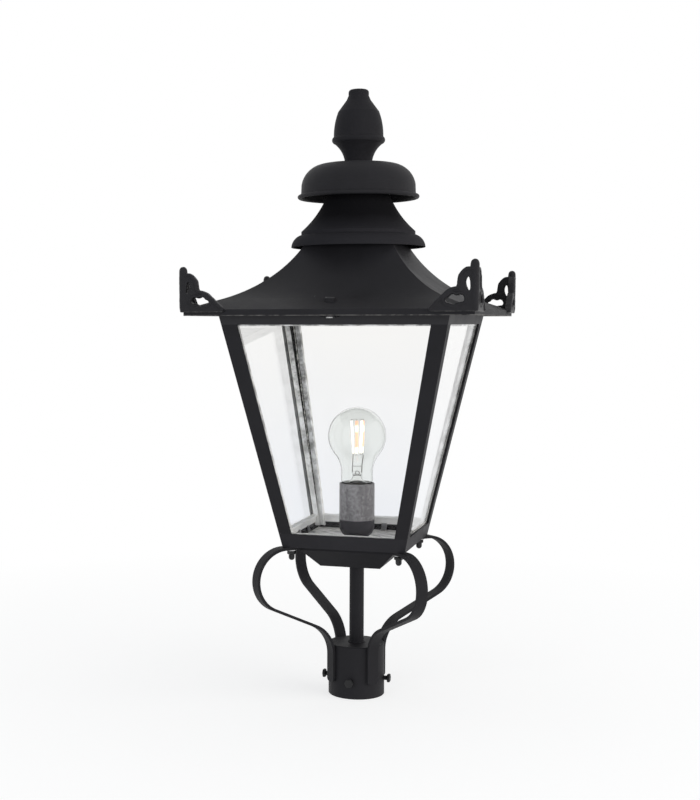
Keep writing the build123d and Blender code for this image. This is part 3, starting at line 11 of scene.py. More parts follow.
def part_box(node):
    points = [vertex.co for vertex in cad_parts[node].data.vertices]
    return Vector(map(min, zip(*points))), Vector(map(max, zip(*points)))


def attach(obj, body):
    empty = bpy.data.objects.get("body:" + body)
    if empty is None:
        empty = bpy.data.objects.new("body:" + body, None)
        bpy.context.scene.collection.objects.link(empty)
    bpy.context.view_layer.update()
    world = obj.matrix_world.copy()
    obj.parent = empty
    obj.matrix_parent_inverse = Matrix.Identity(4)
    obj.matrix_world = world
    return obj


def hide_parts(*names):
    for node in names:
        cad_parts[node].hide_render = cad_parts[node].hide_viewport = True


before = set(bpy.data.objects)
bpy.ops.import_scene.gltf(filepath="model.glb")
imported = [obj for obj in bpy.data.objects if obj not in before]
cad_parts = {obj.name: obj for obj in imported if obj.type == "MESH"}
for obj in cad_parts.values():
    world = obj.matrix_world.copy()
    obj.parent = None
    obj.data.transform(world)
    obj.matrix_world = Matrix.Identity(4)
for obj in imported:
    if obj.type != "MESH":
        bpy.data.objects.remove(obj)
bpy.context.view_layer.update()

MM = 0.001
CORNERS = {"back_right": 0, "back_left": 90, "front_left": 180, "front_right": 270}
WALLS = {"front": 0, "right": 90, "back": 180, "left": 270}

# ---- places read from the frame ----------------------------------------------------------------
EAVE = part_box("roof_shell")[0].z
EAVE_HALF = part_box("roof_shell")[1].x
FRAME_BASE, BASE_RAIL_TOP = (corner.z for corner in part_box("base_frame"))
TOP_RAIL_BASE, FRAME_TOP = (corner.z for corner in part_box("top_frame"))
GLASS_RISE = TOP_RAIL_BASE - BASE_RAIL_TOP
FRAME_TOP_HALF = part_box("top_frame")[1].x
RAIL_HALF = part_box("base_frame")[1].x
WALL_LEAN = (FRAME_TOP_HALF - RAIL_HALF) / (FRAME_TOP - BASE_RAIL_TOP)


def rise_share(z):
    """0 at the foot of the glass, 1 at its head."""
    return (z - BASE_RAIL_TOP) / GLASS_RISE


def half_side(z):
    """Half the tapered frame's outer side at height z."""
    return RAIL_HALF + WALL_LEAN * (z - BASE_RAIL_TOP)


# ---- camera ------------------------------------------------------------------------------------
CAMERA_PLACE = (0.3182, -1.3817, 0.3874)
CAMERA_HEADING = 18.31  # degrees, turned left of +Y
CAMERA_PITCH = -3.26
CAMERA_ROLL = -0.07
CAMERA_LENS = 61.46
CAMERA_SHIFT = 0.150


def add_camera():
    data = bpy.data.cameras.new("camera")
    data.lens = CAMERA_LENS
    data.sensor_width = 36
    data.sensor_fit = "AUTO"
    data.shift_x = CAMERA_SHIFT
    data.clip_start = 0.01
    camera = bpy.data.objects.new("camera", data)
    bpy.context.collection.objects.link(camera)
    turn = Matrix.Rotation(radians(CAMERA_HEADING), 4, "Z")
    tip = Matrix.Rotation(radians(90 + CAMERA_PITCH), 4, "X")
    roll = Matrix.Rotation(radians(CAMERA_ROLL), 4, "Z")
    camera.matrix_world = Matrix.Translation(CAMERA_PLACE) @ turn @ tip @ roll
    bpy.context.scene.camera = camera


# ---- node helpers ------------------------------------------------------------------------------
class Tree:
    """A short way to build a material's nodes."""

    def __init__(self, name):
        self.material = bpy.data.materials.new(name)
        self.material.use_nodes = True
        self.nodes = self.material.node_tree.nodes
        self.links = self.material.node_tree.links
        self.nodes.clear()
        self.output = self.add("OutputMaterial")
        self.place = self.add("TexCoord").outputs["Object"]

    def add(self, kind, **values):
        made = self.nodes.new("ShaderNode" + kind)
        for key, value in values.items():
            setattr(made, key, value)
        return made

    def put(self, made, **values):
        """Sets or links a node's inputs; a socket's name is written with _ for a space."""
        for key, value in values.items():
            socket = made.inputs[int(key[1:]) if key[1:].isdigit() else key.replace("_", " ")]
            if isinstance(value, bpy.types.NodeSocket):
                self.links.new(value, socket)
            else:
                socket.default_value = value
        return made

    def noise(self, scale, detail=4.0, roughness=0.55, stretch=None, distortion=0.0):
        where = self.place
        if stretch:
            where = self.put(self.add("Mapping"), Vector=where, Scale=stretch).outputs[0]
        made = self.put(
            self.add("TexNoise"),
            Vector=where,
            Scale=scale,
            Detail=detail,
            Roughness=roughness,
            Distortion=distortion,
        )
        return made.outputs["Fac"]

    def ramp(self, factor, *stops):
        """A colour ramp; each stop is (position, colour) or (position, grey)."""
        made = self.add("ValToRGB")
        elements = made.color_ramp.elements
        for index, (position, colour) in enumerate(stops):
            element = elements[index] if index < 2 else elements.new(position)
            element.position = position
            element.color = (colour, colour, colour, 1) if isinstance(colour, float) else (*colour, 1)
        self.put(made, Fac=factor)
        return made.outputs["Color"]

    def span(self, value, low, high, start=0.0, end=1.0):
        made = self.put(self.add("MapRange"), Value=value, _1=low, _2=high, _3=start, _4=end)
        return made.outputs[0]

    def mix(self, factor, first, second):
        made = self.add("Mix", data_type="RGBA")
        made.clamp_factor = True
        self.put(made, _0=factor)
        for socket, value in ((made.inputs[6], first), (made.inputs[7], second)):
            if isinstance(value, bpy.types.NodeSocket):
                self.links.new(value, socket)
            else:
                socket.default_value = (*value, 1)
        return made.outputs[2]

    def math(self, operation, first, second=0.0):
        return self.put(self.add("Math", operation=operation), _0=first, _1=second).outputs[0]

    def height(self):
        """Height above the collar's mouth."""
        return self.put(self.add("SeparateXYZ"), Vector=self.place).outputs["Z"]

    def bump(self, height, strength, distance, normal=None):
        made = self.put(self.add("Bump"), Height=height, Strength=strength, Distance=distance)
        if normal:
            self.links.new(normal, made.inputs["Normal"])
        return made.outputs[0]

    def surface(self, **values):
        shader = self.put(self.add("BsdfPrincipled"), **values)
        self.links.new(shader.outputs[0], self.output.inputs["Surface"])
        return shader


def finish_nodes(material, *nodes):
    """Gives CAD nodes a finish; their place and mesh stay as they are."""
    for name in nodes:
        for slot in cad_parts[name].material_slots:
            slot.material = material


# ---- finishes ----------------------------------------------------------------------------------
WORN_HALF = 0.8 * MM  # half the height of a rubbed edge


def toned(colour, share):
    return tuple(share * channel for channel in colour)


def powder_coat(
    name, colour, grain=0.35, lumps=0.0, specular=0.18, roughness=0.6, worn_at=None, wear=0.5, specks=False
):
    """Black powder coat with a fine grain; lumps gives the uneven face of a casting.

    worn_at is a height where an edge is rubbed, and specks scatters a few white marks.
    """
    t = Tree(name)
    fine = t.noise(1400, 3, 0.6)
    broad = t.noise(26, 5, 0.6)
    tone = t.ramp(broad, (0.3, toned(colour, 0.84)), (0.7, toned(colour, 1.2)))
    if worn_at is not None:
        edge = t.math("COMPARE", t.height(), worn_at)
        edge.node.inputs[2].default_value = WORN_HALF
        rubbed = t.span(t.noise(120, 5, 0.75), 0.38, 0.62, 0.0, wear)
        tone = t.mix(t.math("MULTIPLY", edge, rubbed), tone, (0.26, 0.25, 0.24))
    if specks:
        cells = t.put(t.add("TexVoronoi"), Vector=t.place, Scale=55.0)
        near = t.math("LESS_THAN", cells.outputs["Distance"], 0.045)
        chosen = t.put(t.add("SeparateColor"), Color=cells.outputs["Color"]).outputs[0]
        few = t.math("GREATER_THAN", chosen, 0.93)
        tone = t.mix(t.math("MULTIPLY", near, few), tone, (0.45, 0.44, 0.42))
    height = t.bump(fine, grain, 0.0004)
    if lumps:
        height = t.bump(t.noise(170, 4, 0.55), lumps, 0.0012, height)
    t.surface(
        Base_Color=tone,
        Roughness=t.span(broad, 0.3, 0.7, roughness - 0.06, roughness + 0.06),
        Normal=height,
        IOR=1.45,
        Specular_IOR_Level=specular,
    )
    return t.material


def neck_shade_coat(name, colour, dark):
    """Dull coat of the vent's neck, with painted light and shade: lighter at its foot, on the step and skirt,
    and darker from its step up to under the cap, as the cap's shadow.
    """
    t = Tree(name)
    low, high = (corner.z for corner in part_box("vent_neck"))
    rise = t.math("ADD", t.span(t.height(), low, high), t.math("MULTIPLY", t.noise(40, 4, 0.6), 0.15))
    t.surface(
        Base_Color=t.ramp(rise, (0.30, colour), (0.62, dark)),
        Roughness=0.7,
        Normal=t.bump(t.noise(1400, 3, 0.6), 0.3, 0.0004),
        IOR=1.45,
        Specular_IOR_Level=0.04,
    )
    return t.material


def plain_metal(name, colour, dark, roughness, metallic=1.0):
    """A metal with soft clouds of tone and roughness."""
    t = Tree(name)
    cloud = t.noise(60, 6, 0.6)
    t.surface(
        Base_Color=t.ramp(cloud, (0.3, dark), (0.7, colour)),
        Roughness=t.span(cloud, 0.3, 0.7, roughness + 0.1, roughness - 0.05),
        Normal=t.bump(t.noise(900, 3, 0.6), 0.15, 0.0002),
        Metallic=metallic,
    )
    return t.material


def glazing_metal(name, colour, dark):
    """Weathered strip with dull patches and smears of pale sealant."""
    t = Tree(name)
    cloud = t.noise(70, 6, 0.7)
    smears = t.span(t.noise(190, 6, 0.75), 0.56, 0.68)
    paler = t.span(t.height(), BASE_RAIL_TOP + 0.45 * GLASS_RISE, BASE_RAIL_TOP, 0.0, 0.75)
    metal = t.mix(paler, t.ramp(cloud, (0.40, dark), (0.60, colour)), (0.95, 0.95, 0.93))
    tone = t.mix(smears, metal, (0.92, 0.91, 0.87))
    t.surface(
        Base_Color=tone,
        Roughness=t.span(cloud, 0.3, 0.7, 0.62, 0.42),
        Normal=t.bump(t.noise(500, 4, 0.6), 0.3, 0.0003),
        Metallic=0.35,
    )
    return t.material


def streaked_floor(name):
    """Dull sheet with slanting rubbed streaks, stains and dust."""
    t = Tree(name)
    turned = t.put(t.add("Mapping"), Vector=t.place, Rotation=(0, 0, radians(38))).outputs[0]
    t.place = turned
    streaks = t.noise(22, 5, 0.72, stretch=(1.0, 9.0, 1.0), distortion=0.6)
    stains = t.noise(60, 5, 0.7)
    dull, clean, rubbed = (0.34, 0.335, 0.325), (0.90, 0.885, 0.86), (0.95, 0.94, 0.91)
    base = t.ramp(streaks, (0.36, dull), (0.46, clean), (0.60, rubbed))
    t.surface(
        Base_Color=t.mix(t.span(stains, 0.52, 0.66, 0.0, 0.8), base, (0.20, 0.19, 0.18)),
        Roughness=t.span(streaks, 0.35, 0.65, 0.58, 0.36),
        Normal=t.bump(streaks, 0.2, 0.0005),
        Metallic=0.3,
    )
    return t.material


def painted_sheen_cup(name, colour, dark):
    """Dark metal with a speckled face; its soft upright bands are painted sheen, lighter streaks up the cup
    where a round metal face shows reflections.
    """
    t = Tree(name)
    speck = t.noise(330, 5, 0.75)
    # painted sheen: soft upright bands of lighter colour, standing in for reflections up the round cup
    bands = t.noise(60, 3, 0.5, stretch=(1.0, 1.0, 0.12))
    speck_and_sheen = t.math("ADD", t.math("MULTIPLY", speck, 0.5), t.math("MULTIPLY", bands, 0.5))
    t.surface(
        Base_Color=t.ramp(speck_and_sheen, (0.43, dark), (0.57, colour)),
        Roughness=t.span(speck, 0.3, 0.7, 0.55, 0.38),
        Normal=t.bump(speck, 0.3, 0.0003),
        Metallic=0.45,
    )
    return t.material


def moulding(name, colour, dark, roughness, scale=220, specular=0.4):
    """A dull moulded plastic, or ceramic, with a speckled face."""
    t = Tree(name)
    speck = t.noise(scale, 5, 0.7)
    t.surface(
        Base_Color=t.ramp(speck, (0.35, dark), (0.65, colour)),
        Roughness=t.span(speck, 0.3, 0.7, roughness + 0.08, roughness - 0.08),
        Normal=t.bump(speck, 0.2, 0.0003),
        IOR=1.5,
        Specular_IOR_Level=specular,
    )
    return t.material


def clear_glass(name, foot_colour, head_colour, roughness=0.0, edge=None, index=1.46):
    """Glass that lamps shine through, its colour running from foot to top; where the two differ, as on the
    panes, that change and its clouds are painted shade and reflection over the glass's own tint, and edge is
    a painted dark outline.
    """
    t = Tree(name)
    rise = t.span(t.height(), BASE_RAIL_TOP, TOP_RAIL_BASE)
    cloud = t.math("MULTIPLY", t.math("SUBTRACT", t.noise(14, 4, 0.6), 0.5), 0.5)
    shade = t.mix(t.math("ADD", rise, cloud), foot_colour, head_colour)
    if edge:
        # painted shade: a dark outline mixed into the colour where the glass turns edge-on
        facing = t.put(t.add("LayerWeight"), Blend=0.25).outputs["Facing"]
        shade = t.mix(t.span(facing, 0.66, 0.98), shade, edge)
    glass = t.put(
        t.add("BsdfPrincipled"),
        Base_Color=shade,
        Roughness=roughness,
        IOR=index,
        Transmission_Weight=1.0,
        Specular_IOR_Level=0.5,
    )
    through = t.add("BsdfTransparent")
    through.inputs["Color"].default_value = (*head_colour, 1)
    shadow = t.add("LightPath").outputs["Is Shadow Ray"]
    both = t.put(t.add("MixShader"), _0=shadow, _1=glass.outputs[0], _2=through.outputs[0])
    t.links.new(both.outputs[0], t.output.inputs["Surface"])
    return t.material


def lit_strip(name, glow, *bands):
    """The phosphor coat of a light strip; bands are (height, colour) up its length."""
    t = Tree(name)
    low, high = (corner.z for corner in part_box("bulb_filaments"))
    tone = t.ramp(t.span(t.height(), low, high), *bands)
    t.surface(Base_Color=tone, Roughness=0.5, Emission_Color=tone, Emission_Strength=glow)
    return t.material


BLACK = (0.0145, 0.0142, 0.0162)
# painted light: a copy of the black coat made 1.35 times lighter, which lifts the two rails' faces
PAINTED_LIGHT_BLACK = toned(BLACK, 1.35)
BULB_TINT, STEM_TINT = (0.950, 0.962, 0.945), (0.97, 0.97, 0.96)
black_coat = powder_coat("black_coat", BLACK)
finial_coat = powder_coat("finial_coat", BLACK, specular=0.10)
# painted light and shade: 1.5 times the black below the step, half of it under the cap
neck_coat = neck_shade_coat("neck_coat", toned(BLACK, 1.5), toned(BLACK, 0.5))
roof_coat = powder_coat("roof_coat", BLACK, worn_at=EAVE, specks=True)
rail_painted_light_coat = powder_coat("rail_painted_light_coat", PAINTED_LIGHT_BLACK)
top_rail_painted_light_coat = powder_coat("top_rail_painted_light_coat", PAINTED_LIGHT_BLACK, specular=0.36)
cast_coat = powder_coat(
    "cast_coat", BLACK, 0.3, lumps=0.5, specular=0.2, roughness=0.45, worn_at=EAVE + 3.4 * MM, wear=0.2
)
# painted shade and reflection: darker and bluer at the foot, warmer and paler at the head, over the panes'
# own light tint
pane_glass = clear_glass("pane_glass", (0.922, 0.932, 0.952), (0.968, 0.966, 0.958), index=1.2)
# painted shade: a dark brown rim where the bulb's glass turns edge-on
bulb_glass = clear_glass("bulb_glass", BULB_TINT, BULB_TINT, edge=(0.30, 0.25, 0.20))
stem_glass = clear_glass("stem_glass", STEM_TINT, STEM_TINT, 0.05, index=1.12)
aluminium = glazing_metal("aluminium", (0.92, 0.93, 0.94), (0.30, 0.30, 0.30))
floor_metal = streaked_floor("floor_metal")
zinc = plain_metal("zinc", (0.62, 0.62, 0.63), (0.42, 0.42, 0.42), 0.3)
dark_steel = plain_metal("dark_steel", (0.05, 0.05, 0.055), (0.02, 0.02, 0.02), 0.35, metallic=0.6)
holder_dark = moulding("holder_dark", (0.034, 0.032, 0.038), (0.018, 0.017, 0.020), 0.5, specular=0.1)
holder_grey = painted_sheen_cup("holder_grey", (0.285, 0.277, 0.282), (0.135, 0.13, 0.135))
ceramic = moulding("ceramic", (0.75, 0.73, 0.68), (0.62, 0.60, 0.55), 0.4)
sealant = moulding("sealant", (0.90, 0.90, 0.87), (0.66, 0.65, 0.61), 0.5, scale=500)
brass = plain_metal("brass", (0.72, 0.52, 0.22), (0.45, 0.31, 0.12), 0.3)
nickel = plain_metal("nickel", (0.66, 0.64, 0.60), (0.45, 0.43, 0.40), 0.28)
wire_metal = plain_metal("wire_metal", (0.20, 0.18, 0.16), (0.10, 0.09, 0.08), 0.3)
pale_wire = plain_metal("pale_wire", (0.72, 0.69, 0.64), (0.55, 0.52, 0.48), 0.3)
nut_steel = plain_metal("nut_steel", (0.022, 0.022, 0.024), (0.012, 0.012, 0.013), 0.25, metallic=0.5)
screw_steel = plain_metal("screw_steel", (0.012, 0.012, 0.013), (0.008, 0.008, 0.009), 0.6, metallic=0.3)
vitrite = moulding("vitrite", (0.02, 0.02, 0.025), (0.01, 0.01, 0.012), 0.2)
CREAM, PALE, AMBER = (1.0, 0.94, 0.84), (1.0, 0.93, 0.78), (1.0, 0.50, 0.33)
white_strip = lit_strip("white_strip", 1.0, (0.0, CREAM), (1.0, (1.0, 0.98, 0.95)))
amber_strip = lit_strip(
    "amber_strip",
    0.85,
    (0.0, CREAM),
    (0.20, CREAM),
    (0.24, AMBER),
    (0.62, AMBER),
    (0.68, PALE),
    (0.80, PALE),
    (0.86, AMBER),
)

FINISH_BY_SLOT = {
    "black_coat": black_coat,
    "cast_coat": cast_coat,
    "clear_glass": pane_glass,
    "glazing_metal": aluminium,
    "floor_metal": floor_metal,
    "zinc": zinc,
    "dark_steel": dark_steel,
    "holder_dark": holder_dark,
    "holder_grey": holder_grey,
    "ceramic": ceramic,
    "lamp_brass": brass,
    "lamp_metal": nickel,
    "lamp_black": vitrite,
    "lamp_white": white_strip,
}
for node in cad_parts.values():
    for slot in node.material_slots:
        slot.material = FINISH_BY_SLOT[slot.material.name.split(".")[0]]
finish_nodes(bulb_glass, "bulb_glass")
finish_nodes(stem_glass, "bulb_stem")
finish_nodes(roof_coat, "roof_shell")
finish_nodes(rail_painted_light_coat, "base_frame")
finish_nodes(top_rail_painted_light_coat, "top_frame")
finish_nodes(neck_coat, "vent_neck")
finish_nodes(finial_coat, "finial")


# ---- mesh helpers ------------------------------------------------------------------------------
def add_tube(bm, path, radius, sides=10, closed=False):
    """Sweeps a ring along a path; radius is one number, or one for each point."""
    count = len(path)
    rings = []
    side = None
    for index, place in enumerate(path):
        before = path[index - 1] if index or closed else place
        after = path[(index + 1) % count] if index < count - 1 or closed else place
        along = (after - before).normalized()
        side = along.orthogonal() if side is None else side - along * side.dot(along)
        side.normalize()
        up = along.cross(side)
        size = radius if isinstance(radius, float) else radius[index]
        turns = [2 * pi * step / sides for step in range(sides)]
        rings.append([bm.verts.new(place + (side * cos(turn) + up * sin(turn)) * size) for turn in turns])
    for low, high in zip(rings, rings[1:] + rings[:1] if closed else rings[1:]):
        for step in range(sides):
            beyond = (step + 1) % sides
            bm.faces.new((low[step], low[beyond], high[beyond], high[step]))
    if not closed:
        bm.faces.new(reversed(rings[0]))
        bm.faces.new(rings[-1])


def add_lathe(bm, profile, steps=40, place=Matrix.Identity(4)):
    """Revolves (radius, height) points round the Z axis of place; six steps make a hexagon."""
    rings = []
    for radius, height in profile:
        if radius:
            turns = [2 * pi * step / steps for step in range(steps)]
            points = [(radius * cos(turn), radius * sin(turn), height) for turn in turns]
        else:
            points = [(0, 0, height)]
        rings.append([bm.verts.new(place @ Vector(point)) for point in points])
    for low, high in zip(rings, rings[1:]):
        for step in range(steps):
            beyond = step + 1
            corners = (
                low[step % len(low)],
                low[beyond % len(low)],
                high[beyond % len(high)],
                high[step % len(high)],
            )
            corners = list(dict.fromkeys(corners))
            if len(corners) > 2:
                bm.faces.new(corners)


def shade_by_angle(mesh, angle=35):
    """Smooth faces, with the edges sharper than the angle kept crisp."""
    mesh.shade_smooth()
    mesh.set_sharp_from_angle(angle=radians(angle))


def put_piece(name, source, material, body, replaced=()):
    """Makes a piece from a bmesh or a mesh and hangs it on its body."""
    if isinstance(source, bmesh.types.BMesh):
        bmesh.ops.recalc_face_normals(source, faces=source.faces)
        mesh = bpy.data.meshes.new(name)
        source.to_mesh(mesh)
        source.free()
        shade_by_angle(mesh)
    else:
        mesh = source
    mesh.materials.clear()
    mesh.materials.append(material)
    piece = bpy.data.objects.new(name, mesh)
    bpy.context.collection.objects.link(piece)
    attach(piece, body)
    if replaced:
        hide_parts(*replaced)
    return piece


def turn_about(angle):
    return Matrix.Rotation(radians(angle), 4, "Z")


def rough(place, size):
    """Smooth noise from -1 to 1 at a place, for features of that size."""
    return noise.noise(Vector(place) / size)


# ---- pierced corner castings -------------------------------------------------------------------
# lines of a wing, in mm: (along from the corner, up from the drip edge's lower line)
WING_EDGE = (
    (0.0, 42.0),
    (3.2, 42.2),
    (6.5, 42.4),
    (9.2, 41.2),
    (11.9, 38.8),
    (14.1, 36.0),
    (14.9, 34.4),
    (15.7, 30.0),
    (16.4, 25.6),
    (18.6, 25.1),
    (22.3, 24.1),
    (25.6, 22.2),
    (28.8, 19.3),
    (33.0, 15.3),
    (37.2, 11.4),
    (41.0, 7.4),
    (42.0, 5.6),
    (41.2, 4.0),
    (39.2, 3.3),
)
UPPER_SLOT = (
    (5.6, 33.9),
    (7.0, 32.3),
    (7.9, 29.6),
    (7.7, 27.0),
    (6.9, 24.4),
    (5.6, 22.1),
    (4.4, 21.9),
    (3.9, 24.0),
    (4.0, 27.0),
    (4.4, 30.5),
)
LOWER_OPENING = (
    (9.0, 14.5),
    (10.2, 17.0),
    (12.7, 18.2),
    (15.2, 17.3),
    (17.2, 17.4),
    (19.6, 18.4),
    (21.8, 17.8),
    (23.5, 16.0),
    (25.8, 14.9),
    (26.6, 13.2),
    (25.2, 11.3),
    (22.6, 10.9),
    (20.2, 9.9),
    (17.6, 9.8),
    (15.4, 11.3),
    (12.2, 11.9),
    (9.8, 12.4),
)
PLATE_FACES = (-2.2, 3.0)  # inner and outer face, from the wing's middle plane
CAST_FOOT = 3.3
BAR_RADIUS = 4.1
BAR_TOP = 49.0
BAR_DOME = 5.4
CAST_VOXEL = 0.5
CAST_LUMP = 0.16
BEAD_RADIUS = 1.5
BEAD_INSET = 1.7
CAST_STRETCH = {"back_right": 1.015, "back_left": 0.96, "front_left": 0.96, "front_right": 1.04}


def smooth_line(points, closed=False, share=4):
    """A rounded line through the points, with share steps between each two."""
    count = len(points)
    places = [Vector(point) for point in points]
    line = []
    for index in range(count if closed else count - 1):
        a, b, c, d = (
            places[(index + offset) % count] if closed else places[min(max(index + offset, 0), count - 1)]
            for offset in (-1, 0, 1, 2)
        )
        for step in range(share):
            t = step / share
            place = b + (c - a) * t / 2
            place += (2 * a - 5 * b + 4 * c - d) * t * t / 2
            line.append(place + (3 * (b - c) + d - a) * t**3 / 2)
    if not closed:
        line.append(places[-1])
    return line


def shifted(line, reach, closed=False):
    """The line moved sideways, to its right for a reach above zero."""
    moved = []
    for index, place in enumerate(line):
        before = line[index - 1] if index or closed else place
        after = line[(index + 1) % len(line)] if index < len(line) - 1 or closed else place
        along = (after - before).normalized()
        moved.append(place + Vector((along.y, -along.x)) * reach)
    return moved


def wing_place(point, out, mirrored):
    """A wing's point on the back right corner, out from the wing's middle plane."""
    along, up = (value * MM for value in point)
    across, height = EAVE_HALF - along, EAVE + up
    facing = EAVE_HALF + out * MM
    return Vector((facing, across, height) if mirrored else (across, facing, height))


def cast_wing(bm, mirrored):
    """One pierced wing, with a raised bead along its scrolled edge and round its lower opening."""
    edge = smooth_line(WING_EDGE)
    outline = edge + [Vector((0, CAST_FOOT))]
    openings = [smooth_line(points, closed=True) for points in (UPPER_SLOT, LOWER_OPENING)]
    loops = [outline, *openings]
    flat = [point for loop in loops for point in loop]
    triangles = tessellate_polygon([[Vector((*point, 0)) for point in loop] for loop in loops])
    faces = [[bm.verts.new(wing_place(point, out, mirrored)) for point in flat] for out in PLATE_FACES]
    for corners in triangles:
        for side in faces:
            bm.faces.new([side[corner] for corner in corners])
    start = 0
    for loop in loops:
        for index in range(len(loop)):
            here, beyond = start + index, start + (index + 1) % len(loop)
            bm.faces.new((faces[0][here], faces[0][beyond], faces[1][beyond], faces[1][here]))
        start += len(loop)
    face = PLATE_FACES[1]
    rim = [wing_place(point, face, mirrored) for point in shifted(edge, BEAD_INSET)]
    add_tube(bm, rim, BEAD_RADIUS * MM)
    around = shifted(openings[1], -BEAD_INSET, closed=True)
    ring = [wing_place(point, face, mirrored) for point in around]
    add_tube(bm, ring, 0.9 * BEAD_RADIUS * MM, closed=True)


def cast_bar():
    """The upright bar's outline, from its narrowed foot to its long rounded top."""
    dome = []
    for step in range(10):  # fuller than an ellipse
        turn = step * pi / 20
        dome.append((BAR_RADIUS * cos(turn) ** 0.8, BAR_TOP - BAR_DOME * (1 - sin(turn) ** 0.9)))
    foot = [(0, CAST_FOOT), (2.6, CAST_FOOT), (3.4, CAST_FOOT + 0.8), (BAR_RADIUS - 0.2, 9.0)]
    return [(radius * MM, EAVE + height * MM) for radius, height in (*foot, *dome, (0, BAR_TOP))]


def cast_ornament():
    """The back right casting: bar, wings and beads run together, with rounded edges."""
    bm = bmesh.new()
    add_lathe(bm, cast_bar(), 32, Matrix.Translation((EAVE_HALF, EAVE_HALF, 0)))
    for mirrored in (False, True):
        cast_wing(bm, mirrored)
    bmesh.ops.recalc_face_normals(bm, faces=bm.faces)
    mesh = bpy.data.meshes.new("casting")
    bm.to_mesh(mesh)
    bm.free()
    form = bpy.data.objects.new("casting_form", mesh)
    bpy.context.collection.objects.link(form)
    remesh = form.modifiers.new("remesh", "REMESH")
    remesh.mode = "VOXEL"
    remesh.voxel_size = CAST_VOXEL * MM
    smooth = form.modifiers.new("smooth", "SMOOTH")
    smooth.factor = 0.5
    smooth.iterations = 3
    depsgraph = bpy.context.evaluated_depsgraph_get()
    result = bpy.data.meshes.new_from_object(form.evaluated_get(depsgraph))
    bpy.data.objects.remove(form)
    for vertex in result.vertices:
        lump = rough(vertex.co, 4 * MM) + 0.5 * rough(vertex.co, 1.7 * MM)
        vertex.co += vertex.normal * lump * CAST_LUMP * MM
        vertex.co.z = max(vertex.co.z, EAVE + CAST_FOOT * MM)
    return result


def add_castings():
    form = cast_ornament()
    lift = Matrix.Translation((0, 0, EAVE + CAST_FOOT * MM))
    for corner, angle in CORNERS.items():
        mesh = form.copy()
        stretch = Matrix.Scale(CAST_STRETCH[corner], 4, (0, 0, 1))
        mesh.transform(turn_about(angle) @ lift @ stretch @ lift.inverted())
        mesh.shade_smooth()
        put_piece(f"casting_{corner}", mesh, cast_coat, "roof", (f"corner_ornament_{corner}",))


# ---- tapered posts, glazing beads and sealant --------------------------------------------------
POST_FLANGES = (12.8, 16.0)  # at the base rail and at the top rail
POST_WALL = 2.5
BEAD_LEVELS = (5.5, 7.5)  # level depths behind the frame's outer face
BEAD_OUTER = 7.7
HIDDEN = (-0.8, -0.8)  # reach past the post at foot and head of a bead that the post hides
BEAD_REACH = {
    "front": {-1: HIDDEN, 1: HIDDEN},
    "back": {-1: HIDDEN, 1: (3.2, 5.0)},
    "left": {-1: HIDDEN, 1: HIDDEN},
    "right": {-1: HIDDEN, 1: (4.2, -0.8)},
}
BEAD_WIDE = 6.2  # of the back wall's uprights, which leave a gap at the corner for the sealant
SIGHT_RISE = {"front": 0.4, "back": 4.0, "left": 4.0, "right": 3.0}
BEAD_LIP = (1.1, 3.2)  # the standing lip's thickness and height
BEAD_FOOT, BEAD_HEAD = 166.5 * MM, TOP_RAIL_BASE + 9 * MM
CROSS_BEAD = 7.6  # height of the bottom bead
HEAD_BEAD = (-1.2, 7.0)  # lower and upper edge of the top bead, from the top rail's underside
BEAD_JOINT = 0.2  # between a cross bead's end and the upright beside it
SEAL_HEAD = 2.5  # the sealant stops this far under the top rail
SEAL_DEPTH = 7.0  # of the corner line, behind the frame's outer face
SEAL_GAP = {"front": -0.2, "right": -0.2, "back": 1.4, "left": -0.2}  # past the bead's outer edge
SEAL_STEP = 1.6 * MM


def flange(z):
    """A post's width on each wall at height z."""
    foot, head = POST_FLANGES
    return (foot + (head - foot) * rise_share(z)) * MM


def bead_inner(z, wall, side):
    """How far a wall's upright beads reach in from the corner's line at height z."""
    foot, head = BEAD_REACH[wall][side]
    return flange(z) + (foot + (head - foot) * rise_share(z)) * MM


def bead_outer(z, wall, side):
    return bead_inner(z, wall, side) - BEAD_WIDE * MM if wall == "back" else BEAD_OUTER * MM


def add_prism(bm, low, high):
    """Joins two matching loops of points with side faces and end caps."""
    rings = [[bm.verts.new(place) for place in ring] for ring in (low, high)]
    for index in range(len(low)):
        beyond = (index + 1) % len(low)
        bm.faces.new((rings[0][index], rings[0][beyond], rings[1][beyond], rings[1][index]))
    bm.faces.new(reversed(rings[0]))
    bm.faces.new(rings[1])


def add_posts():
    """Corner angles whose flanges widen towards the top."""
    for corner, angle in CORNERS.items():
        bm = bmesh.new()
        loops = []
        for z in (BASE_RAIL_TOP, TOP_RAIL_BASE):
            out = half_side(z)
            inside, edge = out - POST_WALL * MM, out - flange(z)
            section = ((out, out), (edge, out), (edge, inside), (inside, inside), (inside, edge), (out, edge))
            loops.append([turn_about(angle) @ Vector((*point, z)) for point in section])
        add_prism(bm, *loops)
        put_piece(f"post_{corner}", bm, black_coat, "lantern", (f"corner_post_{corner}",))


def wall_place(inset, depth, z, side):
    """A place on the front wall: in from the corner's line on one side, behind the outer face."""
    return Vector((side * (half_side(z) - inset), depth - half_side(z), z))


def add_upright_bead(bm, spin, side, wall):
    lip, rise = (value * MM for value in BEAD_LIP)
    near, far = (value * MM for value in BEAD_LEVELS)
    rings = []
    for z in (BEAD_FOOT, BEAD_HEAD):
        inner, outer = bead_inner(z, wall, side), bead_outer(z, wall, side)
        section = (
            (outer, near),
            (inner, near),
            (inner, far + rise),
            (inner - lip, far + rise),
            (inner - lip, far),
            (outer, far),
        )
        rings.append([spin @ wall_place(inset, depth, z, side) for inset, depth in section])
    add_prism(bm, *rings)


